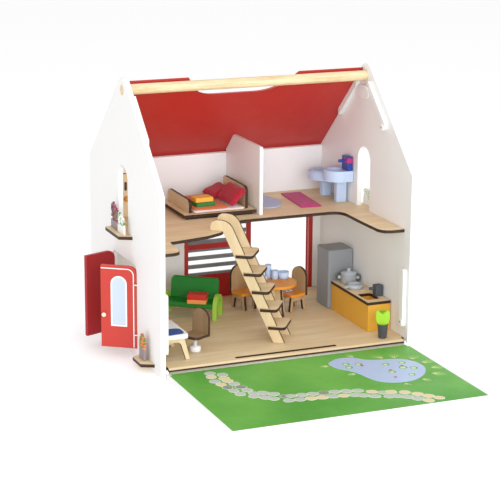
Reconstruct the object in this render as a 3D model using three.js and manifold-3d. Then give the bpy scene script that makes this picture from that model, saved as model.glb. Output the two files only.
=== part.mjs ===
// Wooden dollhouse with an open front, an upper floor, a ladder and its furniture.
// Millimetres, +Z up, +X to the right, +Y to the back. Drawn with the front edges of the
// side walls on y = 0 and the ground on z = 0, then moved so that the origin is the middle
// of the bottom of the whole object's box.
import * as THREE from 'three';
import * as BufferGeometryUtils from 'three/addons/utils/BufferGeometryUtils.js';
import Module from 'manifold-3d';

const wasm = await Module();
wasm.setup();

// ---------------------------------------------------------------- driving dimensions
const WIDTH = 440;            // over the outer faces of the side walls
const DEPTH = 353.5;          // front edge to rear edge of a side wall
const EAVE = 290.6;           // height of a side wall at its front and rear edge
const RIDGE = 457;            // where the two gable slopes would meet
const RIDGE_ROUND = 24;       // radius that rounds the gable's point
const WALL = 8;               // side wall board
const BACK_WALL = 6;          // back wall board
const FLOOR = 5.2;            // floor plywood
const FLOOR_TOP = 14.2;       // walking surface of the ground floor
const UPPER_TOP = 197.5;      // walking surface of the upper floor
const ROOF = 6.5;             // roof panel board
const ROOF_SINK = 4;          // how far the panel lies below the gable's edge
const POLE_D = 17;            // carrying pole
const POLE_Z = 428;           // pole axis height
const PARTITION = 6;          // partition board
const PARTITION_X = 30;       // its middle
const PARTITION_FRONT = 195;  // its front edge
const PARTITION_TOP = 313.8;
const FIT = 0.3;              // gap between pieces that touch
const THROUGH = 1;            // how far a cutting body stands past what it cuts
const RUN = 0.8;              // gap beside pieces that swing or slide
const WINDOW_W = 48;          // gable window
const WINDOW_TOP = 305.5;
const TAB_W = 90;             // floor tab that passes through a side wall
const TAB_OUT = 20;           // how far it stands out as a sill
const TAB_TAPER = 10;         // its ends are cut back by this much
const LOW_TAB_Y = 60;         // middle of the ground floor's tab
const LOW_TAB_W = 60;
const DOOR_FRONT = 113;       // side door opening, front edge
const DOOR_OPENING = 122;     // its width
const DOOR_TOP = 153;
const DOOR_T = 6;
const DOOR_ROUND = 15;        // top corners
const DOOR_GAP = 0.5;         // from the hinge line to the leaf, and to the opening's edge
const NEAR_DOOR_OPEN = 55;    // degrees at rest
const FAR_DOOR_OPEN = 69;
const RING_R = 5;             // hinge ring, measured to the middle of its wire
const RING_WIRE = 0.9;        // wire radius
const RING_TUNNEL = 1.5;      // radius of the ring's bore in wall and leaf
const RING_LOW = 24;          // ring heights above the leaf's lower edge
const RING_HIGH = 108;
const GARDEN_DEPTH = 272.3;
const GARDEN = 7;             // garden board
const GARDEN_GAP = 2.6;       // from the walls' front edges to the board
const GARDEN_PIVOT = 6;       // hinge pin behind y = 0 and above the ground
const LUG = 4;                // hinge lug plate
const PIN_R = 2;
const PATIO_LEFT = -51.3;     // opening in the back wall
const PATIO_RIGHT = 196.3;
const PATIO_LOW = 5;
const PATIO_TOP = 172;
const LINER = 7.2;            // frame member inside the wall's opening
const FLANGE = 8;             // frame member behind the wall, beyond the opening's edge
const FRAME_OUT = 7;          // how far the frame stands behind the wall
const SHUTTER = 4;
const SHUTTER_STILE = 8.5;
const SHUTTER_HIDE = 7.5;     // how much of the left stile runs behind the liner
const SHUTTER_W = 130;
const SHUTTER_RUN = 0.5;      // between the shutter and its groove
const SLAT = 6.7;             // bar between two gaps of the shutter
const SLAT_PITCH = 15.2;
const SHUTTER_PANEL_TOP = 55; // closed panel at the foot
const SHUTTER_RAIL_LOW = 102.6;
const SHUTTER_RAIL_TOP = 111.8;
const STOP_W = 12;            // upright battens behind the closed garden board
const STOP_T = 7;
const STOP_LOW = 34;
const STOP_TOP = 132;
const BATTEN = 9;             // sloping battens, across the slope
const BATTEN_T = 7;
const BATTEN_REAR_END = 268;  // their lower ends
const BATTEN_FRONT_END = 262;
const FLOOR_SLOT_HALF = 88.5; // long slot just behind the ground floor's front edge
const FLOOR_SLOT_Y = 11.2;
const FLOOR_SLOT_W = 7.4;
const BAY = 175;              // upper floor: front edge behind the stair bay
const RIGHT_ARM = 169.5;      // inner edge of the right arm
const RIGHT_TIP = 21;         // its front end
const LEFT_ARM = -176;
const LEFT_TIP = 13.4;
const NOTCH_TOP = [-108, 104];  // hand hole in the roof's upper edge, its sides at the ridge
const NOTCH_FOOT = [-89, 72];   // and at its lower edge
const NOTCH_LOW = 404.5;        // height of its lower edge
const NOTCH_ROUND = 44;
const ROOF_START = 12.5;       // the panel's upper edge lies this far behind the ridge line
const KNOB_Z = 55;            // above the leaf's lower edge
const KNOB_IN = 6;            // from the leaf's free edge
const LUG_GRIP = 9;           // length of the garden hinge's lug beside the board
const PLY = 5;                // plywood of ladder and furniture
const LANDING = [-72.4, 113.3];   // front corner of the landing that the ladder hooks over
const HEADING = -35;          // degrees, the way the ladder runs down in plan
const LANDING_LENGTH = 56;
const LADDER_W = 52;          // over the stringers
const STRINGER = 4;
const STRINGER_RUN = 18.6;    // across a stringer, level
const LADDER_REACH = 86;      // how far the foot stands out from the landing
const HOOK_BACK = 20.5;
const HOOK_H = 18.5;
const TREADS = 5;
const TREAD_FIRST = 42.4;     // top of the lowest tread
const TREAD_RISE = 29.3;
const TREAD_DEPTH = 28;
const TREAD_NOSE = 14;        // how far a tread stands out past the stringers' front edge
const TREAD_END = 3;          // and past their faces
const SILL_BOARD = 3;         // flower boards
const KITCHEN_X = 168;        // kitchen: front face
const KITCHEN_FRONT = 61;
const KITCHEN_BACK = DEPTH - 147.5;
const KITCHEN_TOP = 65;
const KITCHEN_WALL_GAP = 1;
const SINK = [173.5, 198, 77, 113];
const SINK_DEPTH = 14;
const FRIDGE = [163, DEPTH - 146, DEPTH - 96.5]; // front face, near and far side
const FRIDGE_H = 104.5;
const BED_LEFT = -104;
const BED_FRONT = 204;
const BED_BACK = DEPTH - 33.5;
const BED_MARGIN = 12;        // deck beyond the boards, at the front and at the foot
const HEAD_H = 37;
const FOOT_H = 22;
const BLANKET = 7;
const PILLOW_END = [5, 2.5];     // clear of the bed's front and back
const PILLOW_GAP = 2.2;          // between the two pillows
const PILLOWS = [                // name, share of the length, middle x, width, tilt in degrees
  ['front', 0.565, -5, 34.6, 45],
  ['rear', 0.435, -10, 36, 20],
];
const PILLOW_T = 9;
const PILLOW_TURN = 3;
const BASIN_TOP = 57.5;
const BASIN_H = 19;
const BASIN_Y = DEPTH - 112.5;
const MAT = 2;

const HALF = WIDTH / 2;
const INNER = HALF - WALL;
const MID = DEPTH / 2;
const BACK_INNER = DEPTH - BACK_WALL;
const SLOPE = Math.atan2(RIDGE - EAVE, MID);
const UPPER_LOW = UPPER_TOP - FLOOR;
const FLOOR_LOW = FLOOR_TOP - FLOOR;
const degrees = Math.PI / 180;

// ---------------------------------------------------------------- solids
function solid(geometry) {
  const bare = geometry.clone();
  bare.deleteAttribute('normal');
  bare.deleteAttribute('uv');
  const merged = BufferGeometryUtils.mergeVertices(bare, 1e-4);
  const vertProperties = new Float32Array(merged.attributes.position.array);
  const triVerts = new Uint32Array(merged.index.array);
  return new wasm.Manifold(new wasm.Mesh({ numProp: 3, vertProperties, triVerts }));
}

function geometryOf(body) {
  const mesh = body.getMesh();
  const geometry = new THREE.BufferGeometry();
  geometry.setAttribute('position', new THREE.BufferAttribute(new Float32Array(mesh.vertProperties), 3));
  geometry.setIndex(new THREE.BufferAttribute(new Uint32Array(mesh.triVerts), 1));
  geometry.computeVertexNormals();
  return geometry;
}

function box(x0, x1, y0, y1, z0, z1) {
  const geometry = new THREE.BoxGeometry(x1 - x0, y1 - y0, z1 - z0);
  geometry.translate((x0 + x1) / 2, (y0 + y1) / 2, (z0 + z1) / 2);
  return solid(geometry);
}

// A cylinder along one axis, from its lower end.
function rod(axis, radius, from, to, a, b, sides = 32) {
  const geometry = new THREE.CylinderGeometry(radius, radius, to - from, sides);
  const middle = (from + to) / 2;
  if (axis === 'x') {
    geometry.rotateZ(-Math.PI / 2);
    geometry.translate(middle, a, b);
  } else if (axis === 'y') {
    geometry.translate(a, middle, b);
  } else {
    geometry.rotateX(Math.PI / 2);
    geometry.translate(a, b, middle);
  }
  return solid(geometry);
}

// A plate from an outline drawn in the two axes that `place` puts it in. Holes are cut out
// afterwards, because a hole that lines up with a corner can spoil a triangulated outline.
function plate(shape, depth, curveSegments, place) {
  const slab = (points, low, high) => {
    const geometry = new THREE.ExtrudeGeometry(new THREE.Shape(points), { depth: high - low, bevelEnabled: false });
    geometry.translate(0, 0, low);
    geometry.applyMatrix4(place);
    return solid(geometry);
  };
  let body = slab(shape.getPoints(curveSegments), 0, depth);
  for (const hole of shape.holes) {
    body = body.subtract(slab(hole.getPoints(curveSegments), -1, depth + 1));
  }
  return body;
}

// Plates whose outline is drawn in two of the axes and whose thickness runs along the third.
function plateXY(shape, z0, z1, curveSegments = 8) {
  return plate(shape, z1 - z0, curveSegments, new THREE.Matrix4().makeTranslation(0, 0, z0));
}

function plateYZ(shape, x0, x1, curveSegments = 8) {
  const place = new THREE.Matrix4().set(0, 0, 1, x0, 1, 0, 0, 0, 0, 1, 0, 0, 0, 0, 0, 1);
  return plate(shape, x1 - x0, curveSegments, place);
}

function plateXZ(shape, y0, y1, curveSegments = 8) {
  const place = new THREE.Matrix4().set(1, 0, 0, 0, 0, 0, -1, y1, 0, 1, 0, 0, 0, 0, 0, 1);
  return plate(shape, y1 - y0, curveSegments, place);
}

// A closed outline from corners [a, b, radius]; a corner without a radius stays sharp.
function outline(corners, Kind = THREE.Shape) {
  const path = new Kind();
  const count = corners.length;
  corners.forEach(([a, b, radius = 0], i) => {
    const [pa, pb] = corners[(i + count - 1) % count];
    const [na, nb] = corners[(i + 1) % count];
    const back = Math.hypot(pa - a, pb - b);
    const ahead = Math.hypot(na - a, nb - b);
    const startA = a + (pa - a) * radius / back;
    const startB = b + (pb - b) * radius / back;
    if (i === 0) {
      path.moveTo(startA, startB);
    } else {
      path.lineTo(startA, startB);
    }
    if (radius > 0) {
      path.quadraticCurveTo(a, b, a + (na - a) * radius / ahead, b + (nb - b) * radius / ahead);
    }
  });
  path.closePath();
  return path;
}

function rectangle(a0, a1, b0, b1, radius = 0, Kind = THREE.Shape) {
  return outline([[a0, b0, radius], [a1, b0, radius], [a1, b1, radius], [a0, b1, radius]], Kind);
}

function lathe(points, segments = 24) {
  const geometry = new THREE.LatheGeometry(points.map(([r, z]) => new THREE.Vector2(r, z)), segments);
  geometry.rotateX(Math.PI / 2);
  return solid(geometry);
}

function torus(radius, wire, around, across) {
  return solid(new THREE.TorusGeometry(radius, wire, across, around));
}

// ---------------------------------------------------------------- scene graph
const house = new THREE.Group();

function add(name, body, colour, roughness = 0.7, parent = house, metalness = 0) {
  const material = new THREE.MeshStandardMaterial({ color: colour, roughness, metalness });
  const mesh = new THREE.Mesh(geometryOf(body), material);
  mesh.name = name;
  parent.add(mesh);
  return mesh;
}

function placed(x, y, z, turn) {
  const group = new THREE.Group();
  group.position.set(x, y, z);
  group.rotation.z = turn * degrees;
  house.add(group);
  return group;
}

const WHITE = '#f3f2ef';
const RED = '#b9221e';
const PLYWOOD = '#dcc092';
const BEECH = '#e3cfa2';
const ORANGE = '#d98a2b';
const STEEL = '#b9bbbd';

// ---------------------------------------------------------------- side walls
// Height of the line that runs `below` under the rear slope, measured across the slope.
function rearSlope(y, below) {
  return RIDGE - Math.tan(SLOPE) * (y - MID) - below / Math.cos(SLOPE);
}

function gable() {
  const centre = RIDGE - RIDGE_ROUND / Math.cos(SLOPE);
  const shape = new THREE.Shape();
  shape.moveTo(0, 0);
  shape.lineTo(DEPTH, 0);
  shape.lineTo(DEPTH, EAVE);
  shape.absarc(MID, centre, RIDGE_ROUND, Math.PI / 2 - SLOPE, Math.PI / 2 + SLOPE, false);
  shape.lineTo(0, EAVE);
  shape.closePath();
  return shape;
}

// The window runs down into the slot that the upper floor's tab passes through.
function windowAndSlot() {
  const half = WINDOW_W / 2;
  const slot = TAB_W / 2 + FIT;
  const path = new THREE.Path();
  path.moveTo(MID - slot, UPPER_LOW - FIT);
  path.lineTo(MID + slot, UPPER_LOW - FIT);
  path.lineTo(MID + slot, UPPER_TOP + FIT);
  path.lineTo(MID + half, UPPER_TOP + FIT);
  path.absarc(MID, WINDOW_TOP - half, half, 0, Math.PI, false);
  path.lineTo(MID - half, UPPER_TOP + FIT);
  path.lineTo(MID - slot, UPPER_TOP + FIT);
  path.closePath();
  return path;
}

function doorOpening() {
  const rear = DOOR_FRONT + DOOR_OPENING;
  const low = FLOOR_TOP + FIT;
  return outline([[DOOR_FRONT, low], [rear, low], [rear, DOOR_TOP, DOOR_ROUND], [DOOR_FRONT, DOOR_TOP, DOOR_ROUND]]);
}

function poleHole() {
  const path = new THREE.Path();
  path.absarc(MID, POLE_Z, POLE_D / 2 + FIT, 0, Math.PI * 2, false);
  return path;
}

function pinBore(x0, x1) {
  return rod('x', PIN_R + FIT, x0, x1, GARDEN_PIVOT, GARDEN_PIVOT, 20);
}

const LEAF_LOW = FLOOR_TOP + FIT + RUN;
const RING_HEIGHTS = [LEAF_LOW + RING_LOW, LEAF_LOW + RING_HIGH];
const HINGE_LINES = [DOOR_FRONT + DOOR_GAP, DOOR_FRONT + DOOR_OPENING - DOOR_GAP];

function leftWall() {
  const shape = gable();
  shape.holes.push(windowAndSlot(), poleHole());
  const lowHalf = LOW_TAB_W / 2 + FIT;
  const slot = rectangle(LOW_TAB_Y - lowHalf, LOW_TAB_Y + lowHalf, FLOOR_LOW - FIT, FLOOR_TOP + FIT);
  let body = plateYZ(shape, -HALF, -INNER, 16);
  for (const opening of [doorOpening(), slot]) {
    body = body.subtract(plateYZ(opening, -HALF - 1, -INNER + 1, 12));
  }
  for (const y of HINGE_LINES) {
    for (const z of RING_HEIGHTS) {
      body = body.subtract(torus(RING_R, RING_TUNNEL, 28, 10).translate(-HALF, y, z));
    }
  }
  return body.subtract(pinBore(-INNER - WALL * 0.6, -INNER + 1));
}

function rightWall() {
  const shape = gable();
  shape.holes.push(windowAndSlot(), poleHole());
  return plateYZ(shape, INNER, HALF, 16).subtract(pinBore(INNER - 1, INNER + WALL * 0.6));
}

add('left_wall', leftWall(), WHITE);
add('right_wall', rightWall(), WHITE);

// ---------------------------------------------------------------- floors
const HINGE_ROOM = LUG + RUN * 2;              // width of the corner notches for the hinge lugs
const HINGE_NOTCH = GARDEN_PIVOT * 2 + RUN * 2;

// The tab leaves the floor's left or right edge at x = side * (INNER - FIT).
function tabCorners(side, middle, width) {
  const near = side * (INNER - FIT);
  const far = side * (HALF + TAB_OUT);
  const start = middle - side * width / 2;
  const end = middle + side * width / 2;
  const taper = side * TAB_TAPER;
  return [[near, start], [side * HALF, start], [far, start + taper, 2], [far, end - taper, 2],
    [side * HALF, end], [near, end]];
}

function floorBoard() {
  const edge = INNER - FIT;
  const rear = BACK_INNER - FIT;
  const inset = INNER - HINGE_ROOM;
  const shape = outline([[-inset, 0], [inset, 0], [inset, HINGE_NOTCH], [edge, HINGE_NOTCH], [edge, rear],
    [-edge, rear], ...tabCorners(-1, LOW_TAB_Y, LOW_TAB_W), [-edge, HINGE_NOTCH], [-inset, HINGE_NOTCH]]);
  shape.holes.push(rectangle(-FLOOR_SLOT_HALF, FLOOR_SLOT_HALF, FLOOR_SLOT_Y, FLOOR_SLOT_Y + FLOOR_SLOT_W, 0, THREE.Path));
  const body = plateXY(shape, FLOOR_LOW, FLOOR_TOP);
  return body.subtract(floorChamfer());
}

// The front edge is eased so that the garden board's rear edge swings past it.
function floorChamfer() {
  const reach = GARDEN_PIVOT + GARDEN_GAP - FIT;
  const drop = Math.sqrt(reach * reach - GARDEN_PIVOT * GARDEN_PIVOT);
  const rise = FLOOR_TOP - GARDEN_PIVOT;
  const run = GARDEN_PIVOT - Math.sqrt(Math.max(reach * reach - rise * rise, 0));
  const shape = outline([[-1, GARDEN_PIVOT + drop], [0, GARDEN_PIVOT + drop], [run, FLOOR_TOP], [run, FLOOR_TOP + 1],
    [-1, FLOOR_TOP + 1]]);
  return plateYZ(shape, -HALF, HALF);
}

// Plan of the upper floor: a deep stair bay at the left and a narrow arm along each wall.
function along(u, v) {
  const turn = HEADING * degrees;
  return [LANDING[0] + u * Math.cos(turn) - v * Math.sin(turn), LANDING[1] + u * Math.sin(turn) + v * Math.cos(turn)];
}

function upperFloor() {
  const edge = INNER - FIT;
  const rear = BACK_INNER - FIT;
  const shape = outline([[LEFT_ARM, 79, 5], [LEFT_ARM - 3, LEFT_TIP, 18], [-edge, LEFT_TIP],
    ...tabCorners(-1, MID, TAB_W).reverse(), [-edge, rear], [edge, rear], ...tabCorners(1, MID, TAB_W).reverse(),
    [edge, RIGHT_TIP], [RIGHT_ARM + 2, RIGHT_TIP, 24], [RIGHT_ARM, 97], [RIGHT_ARM, BAY, 25],
    [along(0, LANDING_LENGTH + 22)[0] + 6, BAY, 20], [...along(0, LANDING_LENGTH), 0], [...along(0, -4), 5],
    [-105, 94, 8]]);
  return plateXY(shape, UPPER_LOW, UPPER_TOP, 10);
}

add('floor_board', floorBoard(), PLYWOOD);
add('upper_floor', upperFloor(), PLYWOOD);

// ---------------------------------------------------------------- back wall, patio frame and shutter
function backWall() {
  const side = INNER - FIT;
  const shape = rectangle(-side, side, 0, rearSlope(DEPTH, ROOF_SINK + ROOF) - FIT);
  shape.holes.push(rectangle(PATIO_LEFT, PATIO_RIGHT, PATIO_LOW, PATIO_TOP, 0, THREE.Path));
  return plateXZ(shape, BACK_INNER, DEPTH);
}

const FRAME_LEFT = PATIO_LEFT + FIT + LINER;      // the frame's clear opening
const FRAME_RIGHT = PATIO_RIGHT - FIT - LINER;
const FRAME_LOW = FLOOR_TOP + 1;
const FRAME_TOP = PATIO_TOP - FIT - LINER;
const SHUTTER_Y = DEPTH + FIT + (FRAME_OUT - SHUTTER) / 2;
const SHUTTER_LEFT = FRAME_LEFT - SHUTTER_HIDE;
const SHUTTER_LOW = FRAME_LOW - SHUTTER_HIDE;
const SHUTTER_TOP = FRAME_TOP + SHUTTER_HIDE;

// A liner through the wall's opening and a wider flange behind it, glued up, with the
// shutter's groove inside the flange.
function patioFrame() {
  const liner = rectangle(PATIO_LEFT + FIT, PATIO_RIGHT - FIT, PATIO_LOW + FIT, PATIO_TOP - FIT);
  const flange = rectangle(PATIO_LEFT - FLANGE, PATIO_RIGHT + FLANGE, 0, PATIO_TOP + FLANGE);
  const rear = DEPTH + FIT + FRAME_OUT;
  const body = plateXZ(liner, BACK_INNER, DEPTH + FIT + THROUGH).add(plateXZ(flange, DEPTH + FIT, rear));
  const clear = box(FRAME_LEFT, FRAME_RIGHT, BACK_INNER - THROUGH, rear + THROUGH, FRAME_LOW, FRAME_TOP);
  const end = FRAME_RIGHT + SHUTTER_HIDE;
  const groove = box(SHUTTER_LEFT - SHUTTER_RUN, end + SHUTTER_RUN, SHUTTER_Y - SHUTTER_RUN,
    SHUTTER_Y + SHUTTER + SHUTTER_RUN, SHUTTER_LOW - SHUTTER_RUN, SHUTTER_TOP + SHUTTER_RUN);
  return body.subtract(clear).subtract(groove);
}

function shutter() {
  const right = SHUTTER_LEFT + SHUTTER_W;
  const shape = rectangle(SHUTTER_LEFT, right, SHUTTER_LOW, SHUTTER_TOP);
  const gaps = (from, to) => {
    const count = Math.floor((to - from - SLAT) / SLAT_PITCH);
    const start = (from + to - count * SLAT_PITCH - SLAT) / 2 + SLAT;
    for (let i = 0; i < count; i += 1) {
      const z = start + i * SLAT_PITCH;
      const a = SHUTTER_LEFT + SHUTTER_STILE;
      const b = right - SHUTTER_STILE;
      shape.holes.push(rectangle(a, b, z, z + SLAT_PITCH - SLAT, 0, THREE.Path));
    }
  };
  gaps(SHUTTER_PANEL_TOP - SLAT, SHUTTER_RAIL_LOW + SLAT);
  gaps(SHUTTER_RAIL_TOP - SLAT, SHUTTER_TOP - SHUTTER_HIDE + SLAT);
  return plateXZ(shape, SHUTTER_Y, SHUTTER_Y + SHUTTER);
}

add('back_wall', backWall(), WHITE);
add('patio_frame', patioFrame(), RED, 0.5);
add('sliding_shutter', shutter(), RED, 0.5);

// ---------------------------------------------------------------- roof, pole and battens
function roofPanel() {
  const top = MID + ROOF_START;
  const rise = y => rearSlope(y, ROOF_SINK);
  const under = y => rearSlope(y, ROOF_SINK + ROOF);
  const side = INNER - FIT;
  const profile = outline([[DEPTH, under(DEPTH)], [DEPTH, rise(DEPTH)], [top, rise(top)], [top, under(top)]]);
  let body = plateYZ(profile, -side, side);
  const room = POLE_D / 2 + FIT;
  body = body.subtract(rod('x', room, -HALF, HALF, MID, POLE_Z, 40));
  const notch = outline([[NOTCH_TOP[0], RIDGE], [NOTCH_FOOT[0], NOTCH_LOW, NOTCH_ROUND],
    [NOTCH_FOOT[1], NOTCH_LOW, NOTCH_ROUND], [NOTCH_TOP[1], RIDGE]]);
  return body.subtract(plateXZ(notch, MID - 20, MID + 90, 12));
}

// A batten under a slope, from y = from to y = to on the rear slope, mirrored for the front one.
function slopeBatten(side, from, to, front) {
  const low = ROOF_SINK + ROOF + FIT;
  const flip = y => (front ? DEPTH - y : y);
  const at = (y, below) => [flip(y), rearSlope(y, below)];
  const corners = [[...at(from, low)], [...at(to, low), 2], [...at(to, low + BATTEN), BATTEN * 0.45],
    [...at(from, low + BATTEN)]];
  const x0 = side < 0 ? -INNER + FIT : INNER - FIT - BATTEN_T;
  return plateYZ(outline(front ? corners.reverse() : corners), x0, x0 + BATTEN_T, 6);
}

function frontStop(side) {
  const x0 = side < 0 ? -INNER + FIT : INNER - FIT - STOP_T;
  const front = GARDEN + FIT * 2;
  const shape = rectangle(front, front + STOP_W, STOP_LOW, STOP_TOP, STOP_W * 0.4);
  return plateYZ(shape, x0, x0 + STOP_T, 6);
}

const POLE_BATTEN_GAP = POLE_D / 2 + 14;

add('rear_roof_panel', roofPanel(), RED, 0.5);
add('carry_pole', rod('x', POLE_D / 2, -HALF, HALF, MID, POLE_Z, 40), BEECH, 0.5);
for (const [side, word] of [[-1, 'left'], [1, 'right']]) {
  add(`${word}_rear_batten`, slopeBatten(side, MID + POLE_BATTEN_GAP, BATTEN_REAR_END, false), WHITE);
  add(`${word}_front_batten`, slopeBatten(side, MID + POLE_BATTEN_GAP, BATTEN_FRONT_END, true), WHITE);
  add(`${word}_front_stop`, frontStop(side), WHITE);
}

// ---------------------------------------------------------------- partition
function partition() {
  const low = UPPER_TOP + FIT;
  const rear = BACK_INNER - FIT;
  const under = ROOF_SINK + ROOF + FIT;
  const bend = MID + (RIDGE - under / Math.cos(SLOPE) - PARTITION_TOP) / Math.tan(SLOPE);
  const shape = outline([[PARTITION_FRONT, low], [rear, low], [rear, rearSlope(rear, under)], [bend, PARTITION_TOP],
    [PARTITION_FRONT, PARTITION_TOP, 4]]);
  return plateYZ(shape, PARTITION_X - PARTITION / 2, PARTITION_X + PARTITION / 2);
}

add('partition_wall', partition(), WHITE);

// ---------------------------------------------------------------- side doors
const LEAF_W = DOOR_OPENING / 2 - DOOR_GAP * 2 - RUN / 2;
const LEAF_H = DOOR_TOP - RUN - LEAF_LOW;

// Drawn closed, with the hinge line on the local z axis and the outer face on x = 0.
function doorLeaf(side) {
  const near = side * DOOR_GAP;
  const far = side * (DOOR_GAP + LEAF_W);
  const corners = [[near, 0], [far, 0], [far, LEAF_H], [near, LEAF_H, DOOR_ROUND]];
  let body = plateYZ(outline(side > 0 ? corners : corners.reverse()), 0, DOOR_T, 10);
  for (const z of [RING_LOW, RING_HIGH]) {
    body = body.subtract(torus(RING_R, RING_TUNNEL, 28, 10).translate(0, 0, z));
  }
  return body;
}

function knob() {
  return lathe([[0, FIT], [2.2, FIT], [1.6, 2], [3.4, 3.6], [3.6, 5.2], [2.6, 6.6], [0, 7]], 20)
    .rotate([0, -90, 0]).translate(0, DOOR_GAP + LEAF_W - KNOB_IN, KNOB_Z);
}

const nearDoor = placed(-HALF, HINGE_LINES[0], LEAF_LOW, NEAR_DOOR_OPEN);
const farDoor = placed(-HALF, HINGE_LINES[1], LEAF_LOW, -FAR_DOOR_OPEN);
add('near_door', doorLeaf(1), RED, 0.5, nearDoor);
add('near_door_knob', knob(), '#efe6cf', 0.4, nearDoor);
add('far_door', doorLeaf(-1), RED, 0.5, farDoor);
[['near', HINGE_LINES[0]], ['far', HINGE_LINES[1]]].forEach(([word, y]) => {
  RING_HEIGHTS.forEach((z, i) => {
    const ring = torus(RING_R, RING_WIRE, 28, 8).translate(-HALF, y, z);
    add(`${word}_door_${i === 0 ? 'lower' : 'upper'}_ring`, ring, WHITE, 0.5);
  });
});

// ---------------------------------------------------------------- garden board
const GARDEN_HALF = INNER - RUN;

function gardenBoard() {
  const inset = INNER - HINGE_ROOM - FIT;
  const rear = -GARDEN_GAP;
  const notch = rear - LUG_GRIP - FIT;
  const front = rear - GARDEN_DEPTH;
  const shape = outline([[-GARDEN_HALF, front, 3], [GARDEN_HALF, front, 3], [GARDEN_HALF, notch], [inset, notch],
    [inset, rear], [-inset, rear], [-inset, notch], [-GARDEN_HALF, notch]]);
  return plateXY(shape, 0, GARDEN);
}

function gardenLug(side) {
  const inner = INNER - RUN - LUG;
  const x0 = side < 0 ? -INNER + RUN : inner;
  const radius = GARDEN_PIVOT - 1;
  const shape = outline([[-GARDEN_GAP - LUG_GRIP, 1], [GARDEN_PIVOT + radius, 1, radius],
    [GARDEN_PIVOT + radius, 1 + radius * 2, radius], [GARDEN_PIVOT - radius, 1 + radius * 2, radius],
    [0, GARDEN - 1], [-GARDEN_GAP - LUG_GRIP, GARDEN - 1]]);
  const pin = side < 0 ? [-INNER - WALL * 0.5, x0 + 1] : [x0 + LUG - 1, INNER + WALL * 0.5];
  return plateYZ(shape, x0, x0 + LUG).add(rod('x', PIN_R, pin[0], pin[1], GARDEN_PIVOT, GARDEN_PIVOT, 20));
}

add('garden_board', gardenBoard(), '#5aa83a', 0.6);
add('left_garden_hinge', gardenLug(-1), STEEL, 0.4, house, 0.8);
add('right_garden_hinge', gardenLug(1), STEEL, 0.4, house, 0.8);

// ---------------------------------------------------------------- ladder
const ladder = placed(LANDING[0], LANDING[1], 0, HEADING);
const ladderFall = LADDER_REACH / (UPPER_TOP - FLOOR_TOP);

// Distance from the landing of the stringers' front edge at a height.
function stringerFront(z) {
  return STRINGER_RUN + FIT + (UPPER_TOP - z) * ladderFall;
}

function stringer(v0) {
  const low = FLOOR_TOP + FIT;
  const seat = UPPER_TOP + FIT;
  const top = UPPER_TOP + HOOK_H;
  const shape = outline([[-HOOK_BACK, seat, 2], [FIT, seat], [stringerFront(low) - STRINGER_RUN, low],
    [stringerFront(low), low], [stringerFront(top) + 1, top, 16], [-HOOK_BACK, top, 13]]);
  let body = plateXZ(shape, v0, v0 + STRINGER, 10);
  for (let i = 0; i < TREADS; i += 1) {
    const [u0, u1, z1] = treadSpan(i);
    body = body.subtract(box(u0 - FIT, u1 + 1, v0 - 1, v0 + STRINGER + 1, z1 - PLY - FIT, z1 + FIT));
  }
  return body;
}

function treadSpan(i) {
  const top = TREAD_FIRST + i * TREAD_RISE;
  const front = stringerFront(top) + TREAD_NOSE;
  return [front - TREAD_DEPTH, front, top];
}

function tread(i) {
  const [u0, u1, top] = treadSpan(i);
  const shape = outline([[u0, -TREAD_END], [u1, -TREAD_END, 8], [u1, LADDER_W + TREAD_END, 8], [u0, LADDER_W + TREAD_END]]);
  return plateXY(shape, top - PLY, top, 6);
}

add('near_stringer', stringer(0), PLYWOOD, 0.7, ladder);
add('far_stringer', stringer(LADDER_W - STRINGER), PLYWOOD, 0.7, ladder);
for (let i = 0; i < TREADS; i += 1) {
  add(`tread_${i + 1}`, tread(i), PLYWOOD, 0.7, ladder);
}

// ---------------------------------------------------------------- flower boards on the sills
function flowerBoard(side, y0, y1, z0, height) {
  const x = side * (HALF + TAB_OUT * 0.45);
  const wave = (y1 - y0) / 4;
  const shape = new THREE.Shape();
  shape.moveTo(y0, z0);
  shape.lineTo(y1, z0);
  shape.lineTo(y1, z0 + height * 0.8);
  for (let i = 4; i > 0; i -= 1) {
    const middle = y0 + wave * (i - 0.5);
    shape.absarc(middle, z0 + height * 0.8, wave / 2, 0, Math.PI, false);
  }
  shape.closePath();
  return plateYZ(shape, x - SILL_BOARD / 2, x + SILL_BOARD / 2, 6);
}

add('upper_left_flowers', flowerBoard(-1, 144, 209, UPPER_TOP + FIT, 42), '#8c5a6a');
add('upper_right_flowers', flowerBoard(1, 144, 209, UPPER_TOP + FIT, 33), '#8c5a6a');
add('lower_left_flowers', flowerBoard(-1, 38, 76, FLOOR_TOP + FIT, 40), '#c06a3a');

// ---------------------------------------------------------------- furniture
const GROUND = FLOOR_TOP + FIT;
const UPSTAIRS = UPPER_TOP + FIT;

// Chair that faces local -Y: seat, round-topped back and two leg plates, glued up.
function chair(seatTop, backTop, radius = 18) {
  const legs = [];
  for (const side of [-1, 1]) {
    const shape = outline([[-radius + 1, 0], [-radius + 7, 0], [-radius + 9, seatTop - PLY - 6, 4],
      [radius - 8, seatTop - PLY - 6, 4], [radius - 6, 0], [radius, 0], [radius - 3, seatTop - PLY], [-radius + 4, seatTop - PLY]]);
    const x = side * radius * 0.62;
    legs.push(plateYZ(shape, x - PLY / 2, x + PLY / 2, 4));
  }
  const back = outline([[-radius, seatTop - PLY], [radius, seatTop - PLY], [radius, backTop, radius * 0.85],
    [-radius, backTop, radius * 0.85]]);
  const seat = rectangle(-radius, radius, -radius, radius, 5);
  const body = plateXY(seat, seatTop - PLY, seatTop, 4).add(plateXZ(back, radius - PLY, radius, 8));
  return body.add(legs[0]).add(legs[1]);
}

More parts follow.
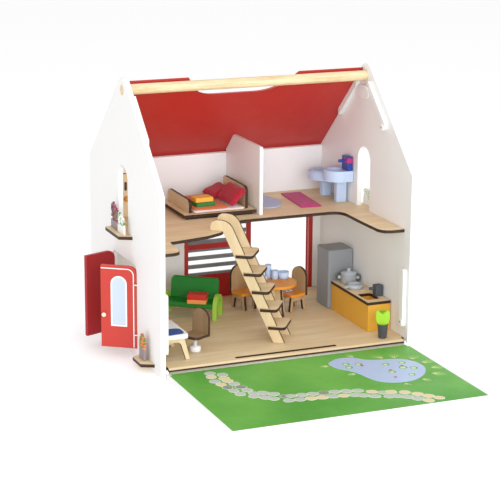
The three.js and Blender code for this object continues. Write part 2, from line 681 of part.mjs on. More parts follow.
const leftChair = placed(30, DEPTH - 85.5, GROUND, 18);
add('left_chair', chair(31, 75), ORANGE, 0.6, leftChair);
const rightChair = placed(106, DEPTH - 123.5, GROUND, -72);
add('right_chair', chair(31, 74), ORANGE, 0.6, rightChair);

// Round table on two crossed plates.
const TABLE_R = 38;
const TABLE_TOP = 60;

function roundTable() {
  const top = new THREE.Shape();
  top.absarc(0, 0, TABLE_R, 0, Math.PI * 2, false);
  const leg = outline([[-22, 0], [-16, 0], [-9, 20, 8], [9, 20, 8], [16, 0], [22, 0], [15, TABLE_TOP - PLY],
    [-15, TABLE_TOP - PLY]]);
  return plateXY(top, TABLE_TOP - PLY, TABLE_TOP, 10).add(plateXZ(leg, -PLY / 2, PLY / 2, 4))
    .add(plateYZ(leg, -PLY / 2, PLY / 2, 4));
}

const table = placed(62, DEPTH - 145.5, GROUND, 20);
add('dining_table', roundTable(), ORANGE, 0.6, table);

// Sofa that faces local -Y.
const SOFA_W = 84;
const SOFA_D = 42;
const SOFA_SEAT = 28;
const SOFA_BACK = 63;

function sofaShell() {
  const half = SOFA_W / 2;
  const side = outline([[-SOFA_D / 2, SOFA_SEAT - 9, 3], [SOFA_D / 2 - 6, SOFA_SEAT - 13], [SOFA_D / 2, SOFA_SEAT - 13, 2],
    [SOFA_D / 2 + 5, SOFA_BACK, 3], [SOFA_D / 2 - 2, SOFA_BACK, 3], [SOFA_D / 2 - 8, SOFA_SEAT, 4],
    [-SOFA_D / 2, SOFA_SEAT, 3]]);
  const front = outline([[-half, 0], [half, 0], [half, SOFA_BACK + 1, 10], [-half, SOFA_BACK + 1, 10]]);
  return plateYZ(side, -half, half, 5).intersect(plateXZ(front, -SOFA_D, SOFA_D, 6));
}

function sofaArm(x0) {
  const reach = SOFA_D / 2;
  const shape = new THREE.Shape();
  const inner = reach - 8;
  shape.moveTo(-reach, 0);
  shape.lineTo(-inner, 0);
  shape.lineTo(-inner, 20);
  shape.absarc(0, 20, inner, Math.PI, 0, true);
  shape.lineTo(inner, 0);
  shape.lineTo(reach, 0);
  shape.lineTo(reach, 20);
  shape.absarc(0, 20, reach, 0, Math.PI, false);
  shape.closePath();
  return plateYZ(shape, x0, x0 + 7, 6);
}

const sofa = placed(-71, DEPTH - 95.5, GROUND, -37);
add('sofa_shell', sofaShell(), '#2f8f36', 0.6, sofa);
add('sofa_left_arm', sofaArm(-SOFA_W / 2 - FIT - 7), '#9ccb3f', 0.6, sofa);
add('sofa_right_arm', sofaArm(SOFA_W / 2 + FIT), '#9ccb3f', 0.6, sofa);

// Desk: thick white top on two A-shaped leg plates that face the front.
const DESK_W = 44;
const DESK_D = 82;
const DESK_TOP = 43.5;
const DESK_BOARD = 7.5;
const DESK_FOOT = 25.5;

function desk() {
  const top = rectangle(-DESK_W / 2, DESK_W / 2, -DESK_D / 2, DESK_D / 2, 2);
  const under = DESK_TOP - DESK_BOARD;
  const leg = outline([[-DESK_FOOT, 0], [-DESK_FOOT + 8, 0], [-7, under - 12, 5], [7, under - 12, 5],
    [DESK_FOOT - 8, 0], [DESK_FOOT, 0], [16, under], [-16, under]]);
  const plate = y => plateXZ(leg, y - PLY / 2, y + PLY / 2, 5);
  return plateXY(top, under, DESK_TOP, 3).add(plate(DESK_D / 2 - 6)).add(plate(-DESK_D / 2 + 6));
}

const deskPlace = placed(-184, 72, GROUND, 0);
add('desk', desk(), WHITE, 0.6, deskPlace);

// Desk chair: seat and round back on a drum foot.
function deskChair() {
  const foot = lathe([[0, 0], [9, 0], [9, 9], [3, 10], [3, 25], [0, 25]], 24);
  const radius = 17;
  const seat = rectangle(-radius, radius, -radius, radius, 8);
  const back = outline([[-radius, 24], [radius, 24], [radius, 69, 15], [-radius, 69, 15]]);
  return foot.add(plateXY(seat, 24, 24 + PLY, 6)).add(plateXZ(back, radius - PLY, radius, 8));
}

const deskChairPlace = placed(-136, 71, GROUND, -62);
add('desk_chair', deskChair(), PLYWOOD, 0.6, deskChairPlace);

// Kitchen counter with a sink cut-out, a box fridge, a tap and a pot.
function kitchenBody() {
  const right = INNER - KITCHEN_WALL_GAP;
  const body = box(KITCHEN_X + 1, right, KITCHEN_FRONT + 1, KITCHEN_BACK, GROUND, KITCHEN_TOP - PLY);
  return body.subtract(box(SINK[0] - 1, SINK[1] + 1, SINK[2] - 1, SINK[3] + 1, KITCHEN_TOP - PLY - SINK_DEPTH, KITCHEN_TOP));
}

function worktop() {
  const shape = rectangle(KITCHEN_X, INNER - KITCHEN_WALL_GAP, KITCHEN_FRONT, KITCHEN_BACK, 1);
  shape.holes.push(rectangle(SINK[0], SINK[1], SINK[2], SINK[3], 5, THREE.Path));
  return plateXY(shape, KITCHEN_TOP - PLY + FIT, KITCHEN_TOP + FIT, 5);
}

function stewPot() {
  const wall = lathe([[0, 0], [13, 0], [14, 1], [14, 17], [14.6, 18], [13, 18], [12.6, 17], [12.4, 2], [0, 2]], 28);
  const grip = side => box(side * 17 - 4, side * 17 + 4, -3, 3, 11, 13.4);
  return wall.add(grip(1)).add(grip(-1));
}

add('kitchen_counter', kitchenBody(), '#dfa32b', 0.6);
add('kitchen_worktop', worktop(), PLYWOOD, 0.6);
const potPlace = placed(191, KITCHEN_BACK - 22, KITCHEN_TOP + FIT * 2, 40);
add('stew_pot', stewPot(), '#a9acb3', 0.4, potPlace);

const fridge = box(FRIDGE[0], INNER - KITCHEN_WALL_GAP, FRIDGE[1], FRIDGE[2], GROUND, GROUND + FRIDGE_H);
add('fridge', fridge, '#8d9094', 0.5);

// Potted tulip: flat flower plate in a tapered pot.
function pottedTulip() {
  const pot = lathe([[0, 0], [7, 0], [9, 24], [0, 24]], 24);
  const flower = outline([[-3, 22], [3, 22], [13, 30, 6], [14, 49], [7, 43], [0, 49], [-7, 43], [-14, 49], [-13, 30, 6]]);
  return pot.add(plateXZ(flower, -1.5, 1.5, 5));
}

const tulipPlace = placed(178, 24, GROUND, 0);
add('potted_tulip', pottedTulip(), '#9ec93a', 0.6, tulipPlace);

// Bed: deck on runners, head and foot boards, blanket and two pillows.
const BED_RIGHT = PARTITION_X - PARTITION / 2 - 2;
const DECK_TOP = UPPER_TOP + 8.5;
const HEADBOARD_X = BED_RIGHT - 10.5 - PLY;

function bedDeck() {
  let body = box(BED_LEFT, BED_RIGHT, BED_FRONT, BED_BACK, DECK_TOP - PLY, DECK_TOP);
  for (const y of [BED_FRONT + 3, BED_BACK - 3 - PLY]) {
    body = body.add(box(BED_LEFT + 4, BED_RIGHT - 6, y, y + PLY, UPSTAIRS, DECK_TOP - PLY + 1));
  }
  return body;
}

function bedBoard(x0, height) {
  const low = DECK_TOP + FIT;
  const front = BED_FRONT + BED_MARGIN;
  const shape = outline([[front, low], [BED_BACK - 2, low], [BED_BACK - 2, low + height, 9], [front, low + height, 9]]);
  return plateYZ(shape, x0, x0 + PLY, 6);
}

function pillow(width, length) {
  const shape = rectangle(-width / 2, width / 2, -length / 2, length / 2, 8);
  return plateXY(shape, 0, PILLOW_T, 5);
}

add('bed_deck', bedDeck(), PLYWOOD);
add('bed_footboard', bedBoard(BED_LEFT + BED_MARGIN, FOOT_H), PLYWOOD);
add('bed_headboard', bedBoard(HEADBOARD_X, HEAD_H), PLYWOOD);
const blanketShape = rectangle(BED_LEFT + BED_MARGIN + PLY + 1, HEADBOARD_X - 1, BED_FRONT + 3, BED_BACK - 3, 3);
add('blanket', plateXY(blanketShape, DECK_TOP + FIT, DECK_TOP + BLANKET), '#dd6a2c', 0.9);

// The pillows lean on the headboard: tilted up toward +X, then turned.
for (const [word, share, x, width, tilt] of PILLOWS) {
  const length = (BED_BACK - BED_FRONT - PILLOW_END[0] - PILLOW_END[1] - PILLOW_GAP) * share;
  const y = word === 'front'
    ? BED_FRONT + PILLOW_END[0] + length / 2
    : BED_BACK - PILLOW_END[1] - length / 2;
  const lift = width / 2 * Math.sin(tilt * degrees);
  const place = placed(x, y, DECK_TOP + BLANKET + FIT * 2 + lift, PILLOW_TURN);
  place.rotation.order = 'ZYX';
  place.rotation.y = -tilt * degrees;
  add(`${word}_pillow`, pillow(width, length), '#c31432', 0.9, place);
}

// Bathroom: wash basin on a pedestal with its tap, and a toilet.
// Both are rounded slabs that meet the side wall, on a square foot.
function slab(half, depth, low, high) {
  const shape = new THREE.Shape();
  shape.moveTo(0, -half);
  shape.lineTo(0, half);
  shape.lineTo(half - depth, half);
  shape.absarc(half - depth, 0, half, Math.PI / 2, Math.PI * 1.5, false);
  shape.closePath();
  return plateXY(shape, low, high, 14);
}

function basin() {
  const low = BASIN_TOP - BASIN_H;
  const rim = BASIN_TOP + THROUGH;
  const hollow = lathe([[0, BASIN_TOP - 12], [8, BASIN_TOP - 11], [12, BASIN_TOP - 6], [13, rim], [0, rim]], 28)
    .translate(-24, 0, 0);
  const stem = rectangle(-22, -2, -7, 7, 4);
  return slab(26, 42.5, low, BASIN_TOP).subtract(hollow).add(plateXY(stem, 0, low + THROUGH, 5));
}

const basinPlace = placed(INNER - 1, BASIN_Y, UPSTAIRS, 0);
add('wash_basin', basin(), '#cfdcf2', 0.35, basinPlace);

function basinTap() {
  const post = box(-10, -1, -12, 12, 0, 24);
  return post.add(box(-22, -9, -2.5, 2.5, 14, 18.5));
}

const tapPlace = placed(INNER - 1, BASIN_Y - 12, UPSTAIRS + BASIN_TOP + FIT, 0);
add('basin_tap', basinTap(), '#1f4fae', 0.35, tapPlace);

function toilet() {
  const bowl = lathe([[0, 34], [8, 35.5], [11, 40], [11.5, 44 + THROUGH], [0, 44 + THROUGH]], 28).translate(-25, 0, 0);
  const stem = rectangle(-24, -5, -7.5, 7.5, 4);
  return slab(23, 47, 30, 44).subtract(bowl).add(plateXY(stem, 0, 30 + THROUGH, 5));
}

const toiletPlace = placed(INNER - 1, DEPTH - 57.5, UPSTAIRS, 0);
add('toilet', toilet(), '#c7d3ee', 0.35, toiletPlace);

const mat = new THREE.Shape();
mat.absellipse(66, DEPTH - 72.5, 32, 50, 0, Math.PI * 2, false, 0);
add('round_mat', plateXY(mat, UPSTAIRS, UPSTAIRS + MAT, 10), '#b9cdea', 0.9);
const bathMatPlace = placed(137, DEPTH - 83.5, UPSTAIRS, -4.3);
add('pink_mat', plateXY(rectangle(-18.5, 18.5, -54.5, 54.5, 2), 0, MAT), '#d6468c', 0.9, bathMatPlace);

// ---------------------------------------------------------------- the whole part
const part = new THREE.Group();
part.add(house);
part.updateMatrixWorld(true);
const extent = new THREE.Box3().setFromObject(part, true);
house.position.set(-(extent.min.x + extent.max.x) / 2, -(extent.min.y + extent.max.y) / 2, -extent.min.z);

export default part;
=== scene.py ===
# %% [markdown]
# # A wooden dollhouse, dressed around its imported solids
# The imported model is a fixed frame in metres. This lesson gives its boards their paint, varnish
# and burnt edges, and replaces the soft and the plain solids with detailed pieces that ride on
# the same bodies.
# %% Load the frame
import math
import random

import bmesh
import bpy
from mathutils import Matrix, Vector


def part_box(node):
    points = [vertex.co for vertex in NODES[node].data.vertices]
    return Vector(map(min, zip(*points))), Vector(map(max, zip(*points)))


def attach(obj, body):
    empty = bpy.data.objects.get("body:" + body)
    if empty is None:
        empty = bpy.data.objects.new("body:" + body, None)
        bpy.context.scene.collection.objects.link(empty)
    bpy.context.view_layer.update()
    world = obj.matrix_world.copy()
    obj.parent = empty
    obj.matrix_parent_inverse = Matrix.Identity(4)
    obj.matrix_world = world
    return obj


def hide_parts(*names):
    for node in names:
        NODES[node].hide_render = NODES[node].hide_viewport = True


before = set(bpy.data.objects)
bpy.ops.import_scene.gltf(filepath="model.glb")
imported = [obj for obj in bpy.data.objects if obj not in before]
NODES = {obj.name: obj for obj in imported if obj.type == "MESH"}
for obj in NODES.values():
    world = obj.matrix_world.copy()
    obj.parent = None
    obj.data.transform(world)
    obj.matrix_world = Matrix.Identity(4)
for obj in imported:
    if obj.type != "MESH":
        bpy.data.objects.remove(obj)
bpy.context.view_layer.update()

# %% [markdown]
# The house was drawn in millimetres from the middle of its front edge on the ground. One corner
# of the left wall fixes that drawing in the frame, so every place below is given as on the
# drawing: x to the right, y to the back, z up.
# %% Places on the drawing
MM = 0.001
WIDTH = 440
WALL = 8
FLOOR_TOP = 14.2
UPPER_TOP = 197.5
FIT = 0.3
GROUND = FLOOR_TOP + FIT
UPSTAIRS = UPPER_TOP + FIT
HALF = WIDTH / 2
INNER = HALF - WALL
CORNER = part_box("left_wall")[0]


def at(x, y, z):
    """A point of the drawing, in the row frame."""
    return CORNER + Vector((x + HALF, y, z)) * MM


def spot(x, y, z, turn=0, lean=0):
    """A place for a piece: moved there, turned about z, then leant about its own y, in degrees."""
    turned = Matrix.Rotation(math.radians(turn), 4, "Z")
    leant = Matrix.Rotation(math.radians(lean), 4, "Y")
    return Matrix.Translation(at(x, y, z)) @ turned @ leant


FACING_X = Matrix(((0, 0, 1, 0), (1, 0, 0, 0), (0, 1, 0, 0), (0, 0, 0, 1)))
FACING_Y = Matrix(((1, 0, 0, 0), (0, 0, -1, 0), (0, 1, 0, 0), (0, 0, 0, 1)))
print("front edge of the left wall at", [round(c, 4) for c in at(-HALF, 0, 0)])

# %% [markdown]
# The camera stands low and to the left, far away with a long lens, as for a catalogue picture.
# Its shift keeps the verticals as they were framed.
# %% Camera
CAMERA_PLACE = (-1114.41, -2505.59, 913.27)
CAMERA_YAW = -23.3862
CAMERA_PITCH = -14.9416
CAMERA_ROLL = 0.5916
LENS = 128.93
SHIFT = (-0.0469, 0.007)

camera_data = bpy.data.cameras.new("camera")
camera_data.sensor_width = 36
camera_data.lens = LENS
camera_data.shift_x, camera_data.shift_y = SHIFT
camera_data.clip_end = 50
camera = bpy.data.objects.new("camera", camera_data)
bpy.context.scene.collection.objects.link(camera)
facing = (
    Matrix.Rotation(math.radians(CAMERA_YAW), 4, "Z")
    @ Matrix.Rotation(math.radians(90 + CAMERA_PITCH), 4, "X")
    @ Matrix.Rotation(math.radians(CAMERA_ROLL), 4, "Z")
)
camera.matrix_world = Matrix.Translation(at(*CAMERA_PLACE)) @ facing
bpy.context.scene.camera = camera
print("camera at", [round(c, 3) for c in camera.location])

# %% [markdown]
# A pale floor and large soft lights: two from low in front, so that they reach into the rooms,
# a weak one above, and an even sky that keeps every shadow soft.
# %% Floor and lights
def rgb(code):
    """A screen colour such as #aabbcc as the linear values that a shader wants."""
    values = [int(code[i : i + 2], 16) / 255 for i in (1, 3, 5)]
    return [v / 12.92 if v <= 0.04045 else ((v + 0.055) / 1.055) ** 2.4 for v in values]


def area_light(name, place, target, size, watts, colour="#ffffff"):
    data = bpy.data.lights.new(name, "AREA")
    data.size = size
    data.energy = watts
    data.color = rgb(colour)
    light = bpy.data.objects.new(name, data)
    bpy.context.scene.collection.objects.link(light)
    light.location = at(*place)
    aim = at(*target) - light.location
    light.rotation_euler = aim.to_track_quat("-Z", "Y").to_euler()
    return light


area_light("key", (-1000, -2300, 800), (100, 200, 220), 1.2, 20, "#f6faff")
area_light("fill", (150, -2500, 750), (20, 200, 220), 1.5, 26, "#f3f8ff")
area_light("top", (100, 300, 2300), (0, 200, 100), 1.6, 6)

world = bpy.data.worlds.new("studio")
bpy.context.scene.world = world
world.use_nodes = True
sky = world.node_tree.nodes["Background"]
sky.inputs["Color"].default_value = (1, 1, 1, 1)
sky.inputs["Strength"].default_value = 0.86
bpy.context.scene.view_settings.view_transform = "Standard"

FLOOR_WHITE = (0.93, 0.93, 0.93, 1)
FLOOR_GLOW = 0.16
floor_white = bpy.data.materials.new("studio floor")
floor_white.use_nodes = True
floor_shader = floor_white.node_tree.nodes["Principled BSDF"].inputs
floor_shader["Base Color"].default_value = FLOOR_WHITE
floor_shader["Roughness"].default_value = 0.9
floor_shader["Emission Color"].default_value = (1, 1, 1, 1)
floor_shader["Emission Strength"].default_value = FLOOR_GLOW
floor_bm = bmesh.new()
bmesh.ops.create_grid(floor_bm, x_segments=1, y_segments=1, size=12)
floor_mesh = bpy.data.meshes.new("floor")
floor_mesh.materials.append(floor_white)
floor_bm.to_mesh(floor_mesh)
floor_bm.free()
floor = bpy.data.objects.new("floor", floor_mesh)
bpy.context.scene.collection.objects.link(floor)
floor.location = at(0, 0, -0.4)
print("three soft lights and a floor")

# %% [markdown]
# ## Finishes
# Every finish is a few nodes on Object coordinates, so the pattern stays on its piece when the
# piece moves. Two helpers keep them short: one starts a material, one adds a node to it.
# %% Start a finish
def start_finish(name, colour, roughness, **sockets):
    material = bpy.data.materials.new(name)
    material.use_nodes = True
    shader = material.node_tree.nodes["Principled BSDF"]
    shader.inputs["Base Color"].default_value = (*colour, 1)
    shader.inputs["Roughness"].default_value = roughness
    for socket, value in sockets.items():
        shader.inputs[socket.replace("_", " ")].default_value = value
    return material


def step(material, kind, inputs=None, **settings):
    """Adds one node. An input that is given a socket is linked to it."""
    node = material.node_tree.nodes.new("ShaderNode" + kind)
    for name, value in settings.items():
        setattr(node, name, value)
    for key, value in (inputs or {}).items():
        if isinstance(value, bpy.types.NodeSocket):
            material.node_tree.links.new(value, node.inputs[key])
        else:
            node.inputs[key].default_value = value
    return node


def into_shader(material, **sockets):
    shader = material.node_tree.nodes["Principled BSDF"]
    for name, socket in sockets.items():
        material.node_tree.links.new(socket, shader.inputs[name.replace("_", " ")])


# %% [markdown]
# Noise, mixing, arithmetic, bump and worn edges come up in nearly every finish, so each has a
# helper that adds its node and hands back the socket that comes out.
# %% Nodes that many finishes share
def object_place(material):
    return step(material, "TexCoord").outputs["Object"]


def noise(material, place, scale, detail=2.0, stretch=(1, 1, 1)):
    mapped = step(material, "Mapping", {"Vector": place, "Scale": stretch}).outputs[0]
    inputs = {"Vector": mapped, "Scale": scale, "Detail": detail}
    return step(material, "TexNoise", inputs).outputs["Fac"]


def blend_colours(material, factor, first, second):
    node = step(material, "Mix", data_type="RGBA")
    for socket, value in ((node.inputs[0], factor), (node.inputs[6], first), (node.inputs[7], second)):
        if isinstance(value, bpy.types.NodeSocket):
            material.node_tree.links.new(value, socket)
        else:
            socket.default_value = value if isinstance(value, float) else (*value, 1)
    return node.outputs[2]


def sums(material, operation, first, second=0.0, third=0.0):
    return step(material, "Math", {0: first, 1: second, 2: third}, operation=operation).outputs[0]


def spread(material, value, low, high, start=0.0, end=1.0):
    """Maps low..high onto start..end and stops at both ends."""
    inputs = {"Value": value, "From Min": low, "From Max": high, "To Min": start, "To Max": end}
    return step(material, "MapRange", inputs).outputs[0]


def bump(material, height, distance, strength=1.0, under=None):
    inputs = {"Height": height, "Distance": distance, "Strength": strength}
    if under is not None:
        inputs["Normal"] = under
    return step(material, "Bump", inputs).outputs[0]


def worn_edges(material, radius=0.0006):
    """1 along sharp edges, where paint is thin, and 0 on the flats."""
    soft = step(material, "Bevel", {"Radius": radius}, samples=4).outputs[0]
    hard = step(material, "NewGeometry").outputs["Normal"]
    alike = step(material, "VectorMath", {0: soft, 1: hard}, operation="DOT_PRODUCT").outputs["Value"]
    return spread(material, alike, 0.995, 0.86)


def shade(colour, factor):
    return [min(1.0, c * factor) for c in colour]


# %% [markdown]
# Painted board: the paint follows the wood's grain a little, is uneven by a few per cent, has
# the fine texture of a roller, and is thinner along its edges.
# %% Paint
def paint(name, code, roughness=0.42, thin=None, uneven=0.05, grain=(1, 1, 6)):
    colour = rgb(code)
    material = start_finish(name, colour, roughness, Specular_IOR_Level=0.4)
    place = object_place(material)
    broad = noise(material, place, 7, 3)
    mottled = blend_colours(material, broad, shade(colour, 1 - uneven), shade(colour, 1 + uneven))
    edge = sums(material, "MULTIPLY", worn_edges(material), 0.55)
    worn = blend_colours(material, edge, mottled, rgb(thin) if thin else shade(colour, 1.35))
    roller = noise(material, place, 900, 2)
    fibres = noise(material, place, 120, 3, grain)
    relief = bump(material, roller, 0.00006, 0.5, bump(material, fibres, 0.00012, 0.35))
    gloss = spread(material, noise(material, place, 40, 3), 0.3, 0.7, roughness - 0.06, roughness + 0.08)
    into_shader(material, Base_Color=worn, Normal=relief, Roughness=gloss)
    return material


WHITE = paint("white paint", "#f2f1ef", 0.5, "#f7f2e8", 0.012)
RED = paint("red paint", "#b92c24", 0.38, "#d0523f", 0.05)
# The two door leaves share one red: the near leaf is painted lighter as painted light, and the far leaf
# darker as painted shade.
LIT_DOOR_RED = paint("near leaf red with painted light", "#c23c31", 0.42, "#e07a66", 0.05)
SHADED_DOOR_RED = paint("far leaf red with painted shade", "#a01a22", 0.38, "#cf4a48", 0.04)
print("painted boards:", WHITE.name, RED.name)

# %% [markdown]
# Plywood that a laser has cut: pale birch on its faces, with long soft figure and short pores,
# and burnt almost black on its edges, where the plies show as lines. The faces are found by the
# direction that the surface points in, so one finish does a whole board.
# %% Plywood
PALE = rgb("#ead6b0")
TAN = rgb("#d5b98d")
BURNT = rgb("#2e1a10")
SINGED = rgb("#5a3a22")


def birch_figure(material, place, along, pale=PALE, tan=TAN):
    """Colour and height of a birch face whose grain runs along x, y or z."""
    long_way = [9.0, 9.0, 9.0]
    long_way["xyz".index(along)] = 1.0
    figure = noise(material, place, 4, 4, long_way)
    lines = step(material, "Math", {0: figure, 1: 14.0}, operation="MULTIPLY").outputs[0]
    waves = spread(material, sums(material, "SINE", lines), -1, 1)
    pores = noise(material, place, 90, 4, [v * 1.6 if v > 1 else 0.7 for v in long_way])
    stripes = sums(material, "MULTIPLY", waves, 0.3)
    soft = sums(material, "ADD", stripes, sums(material, "MULTIPLY", pores, 0.55))
    colour = blend_colours(material, spread(material, soft, 0.2, 0.75), pale, tan)
    return colour, pores


def burnt_colour(material, place, normal, plies=900.0):
    """Burnt wood, with the glue lines across the board's thickness."""
    depth = step(material, "VectorMath", {0: place, 1: normal}, operation="DOT_PRODUCT").outputs["Value"]
    lines = sums(material, "SINE", sums(material, "MULTIPLY", depth, plies * 2 * math.pi / 2.6))
    smoke = noise(material, place, 160, 3)
    mixed = sums(material, "ADD", sums(material, "MULTIPLY", lines, 0.22), smoke)
    return blend_colours(material, spread(material, mixed, 0.45, 1.0), BURNT, SINGED)


def plywood(name, normal, along, pale=PALE, tan=TAN, edge=True):
    material = start_finish(name, pale, 0.5, Specular_IOR_Level=0.35)
    place = object_place(material)
    colour, pores = birch_figure(material, place, along, pale, tan)
    if edge:
        points = step(material, "TexCoord").outputs["Normal"]
        facing_out = step(material, "VectorMath", {0: points, 1: normal}, operation="DOT_PRODUCT")
        flat = sums(material, "ABSOLUTE", facing_out.outputs["Value"])
        is_edge = spread(material, flat, 0.75, 0.55)
        near_edge = sums(material, "MULTIPLY", worn_edges(material, 0.0009), 0.8)
        burnt = burnt_colour(material, place, normal)
        colour = blend_colours(material, near_edge, colour, SINGED)
        colour = blend_colours(material, is_edge, colour, burnt)
    relief = bump(material, pores, 0.0001, 0.3)
    into_shader(material, Base_Color=colour, Normal=relief)
    return material


HEADING = math.radians(-35)
FLOOR_PLY = plywood("floor plywood", (0, 0, 1), "x")
SIDE_PLY = plywood("side plywood", (1, 0, 0), "y")
LADDER_SIDE = (math.sin(-HEADING), math.cos(HEADING), 0)
STRINGER_PLY = plywood("stringer plywood", LADDER_SIDE, "z")
print("plywood finishes for three directions")

# %% [markdown]
# New plywood pieces get the two finishes as separate materials: one on the faces, one on the
# cut edges, because a chair's plates point in several directions at once.
# %% Face and edge
def face_of(name, pale, tan):
    return plywood(name, (0, 0, 1), "z", pale, tan, edge=False)


def burnt_edge(name):
    material = start_finish(name, BURNT, 0.6)
    place = object_place(material)
    smoke = noise(material, place, 220, 3)
    lines = noise(material, place, 60, 2, (1, 1, 9))
    mixed = sums(material, "MULTIPLY_ADD", lines, 0.5, smoke)
    colour = blend_colours(material, spread(material, mixed, 0.55, 1.1), BURNT, SINGED)
    into_shader(material, Base_Color=colour, Normal=bump(material, smoke, 0.0001, 0.4))
    return material


FACE = face_of("birch face", PALE, TAN)
BROWN_FACE = face_of("brown birch face", rgb("#c9ab82"), rgb("#ab8a61"))
# Painted shade: a darker birch for the desk chair's plates, which stand on their shadow side.
SHADED_BIRCH_FACE = face_of("birch face with painted shade", rgb("#a08262"), rgb("#866a4c"))
EDGE = burnt_edge("burnt edge")
ORANGE = paint("orange paint", "#e5952f", 0.4, "#c96f1d")
print("face, brown face and edge")

# %% [markdown]
# Turned beech for the carrying pole, cloth for the bed, and felt for the mats.
# %% Beech, cloth and felt
def beech():
    material = start_finish("beech", rgb("#e6cfa3"), 0.38, Coat_Weight=0.15, Coat_Roughness=0.3)
    place = object_place(material)
    streaks = noise(material, place, 30, 4, (0.35, 7, 7))
    flecks = noise(material, place, 260, 2, (0.3, 2.2, 2.2))
    mixed = sums(material, "MULTIPLY_ADD", flecks, 0.5, streaks)
    colour = blend_colours(material, spread(material, mixed, 0.55, 1.0), rgb("#ecd8b0"), rgb("#cfae78"))
    into_shader(material, Base_Color=colour, Normal=bump(material, flecks, 0.00005, 0.4))
    return material


def cloth(name, code, thread=1100.0):
    """Plain weave: two sets of threads that take turns on top."""
    colour = rgb(code)
    material = start_finish(name, colour, 0.85, Sheen_Weight=0.12, Sheen_Roughness=0.5)
    place = object_place(material)
    parts = step(material, "SeparateXYZ", {0: place}).outputs
    across = sums(material, "SINE", sums(material, "MULTIPLY", parts[0], thread * 2 * math.pi))
    length = sums(material, "SINE", sums(material, "MULTIPLY", parts[1], thread * 2 * math.pi))
    weave = sums(material, "MULTIPLY", across, length)
    slubs = noise(material, place, 240, 3, (1, 5, 1))
    height = sums(material, "MULTIPLY_ADD", slubs, 1.5, weave)
    tint = spread(material, height, -0.6, 2.2)
    broad = noise(material, place, 25, 3)
    shaded = blend_colours(material, tint, shade(colour, 0.72), shade(colour, 1.12))
    faded = blend_colours(material, sums(material, "MULTIPLY", broad, 0.3), shaded, shade(colour, 1.12))
    into_shader(material, Base_Color=faded, Normal=bump(material, height, 0.00012, 0.6))
    return material


def felt(name, code):
    colour = rgb(code)
    material = start_finish(name, colour, 0.95, Sheen_Weight=0.12, Sheen_Roughness=0.6)
    place = object_place(material)
    fuzz = noise(material, place, 900, 5)
    clumps = noise(material, place, 130, 4)
    mixed = sums(material, "MULTIPLY_ADD", clumps, 0.6, fuzz)
    tint = spread(material, mixed, 0.5, 1.1)
    shaded = blend_colours(material, tint, shade(colour, 0.8), shade(colour, 1.15))
    into_shader(material, Base_Color=shaded, Normal=bump(material, mixed, 0.0003, 0.5))
    return material


BEECH = beech()
CRIMSON = cloth("crimson cloth", "#b40f2b")
BLANKET_CLOTH = cloth("orange cloth", "#df7433")
MATTRESS_CLOTH = cloth("pale pink cloth", "#f3dfda")
BLUE_FELT = felt("pale blue felt", "#b5c4e0")
PINK_FELT = felt("pink felt", "#c22f78")
print("beech, three cloths, two felts")

# %% [markdown]
# The other colours of the set are all satin paints, made with the same recipe.
# %% The other paints
SOFA_GREEN = paint("sofa green", "#1f7f2c", 0.4)
LIME = paint("lime", "#a4cf4b", 0.42)
YELLOW = paint("counter yellow", "#e7ae3c", 0.42, "#d0882a")
GREY = paint("fridge grey", "#8f9296", 0.4, uneven=0.06)
PALE_GREY = paint("pot grey", "#b4b9bf", 0.4)
DARK_GREY = paint("dark grey", "#4c5057", 0.45)
BATH_BLUE = paint("bath blue", "#c3d5f1", 0.35)
TAP_BLUE = paint("tap blue", "#24429c", 0.35)
MAGENTA = paint("magenta", "#b8327c", 0.4)
TULIP = paint("tulip green", "#a6d62f", 0.45)
CREAM = paint("knob cream", "#efe3c6", 0.35)
RING = paint("ring white", "#f2f1ee", 0.3, uneven=0.01)
PANE = paint("pane blue", "#c3cfe8", 0.25, uneven=0.02)
# Painted shade: the grey of the dot in the middle of each white nub.
SHADE_DOT_GREY = paint("dot of painted shade", "#77797c", 0.5)
PAPER_BLUE = paint("paper blue", "#2c4f9a", 0.5)
print("painted colours done")

# %% [markdown]
# The shutter is one board with a red border, a red middle rail and a red foot, and grey slats
# between them. Its paint changes colour by place on the board.
# %% Two-colour shutter
def shutter_paint():
    material = paint("shutter paint", "#b3201d", 0.38, "#d9604f")
    tree = material.node_tree
    red = tree.nodes["Principled BSDF"].inputs["Base Color"].links[0].from_socket
    parts = step(material, "SeparateXYZ", {0: object_place(material)}).outputs
    low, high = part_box("sliding_shutter")
    stile = 8.5 * MM

    def inside(value, start, end):
        above = sums(material, "GREATER_THAN", value, start)
        return sums(material, "MULTIPLY", above, sums(material, "LESS_THAN", value, end))

    between = inside(parts[0], low.x + stile, high.x - stile)
    lower = inside(parts[2], at(0, 0, 55.2).z, at(0, 0, 102.4).z)
    upper = inside(parts[2], at(0, 0, 112.0).z, at(0, 0, 164).z)
    slats = sums(material, "MULTIPLY", between, sums(material, "ADD", lower, upper))
    drift = noise(material, object_place(material), 60, 2)
    grey = blend_colours(material, drift, rgb("#8a8b8e"), rgb("#6e6f73"))
    into_shader(material, Base_Color=blend_colours(material, slats, red, grey))
    return material


SHUTTER_PAINT = shutter_paint()
print("shutter paint done")
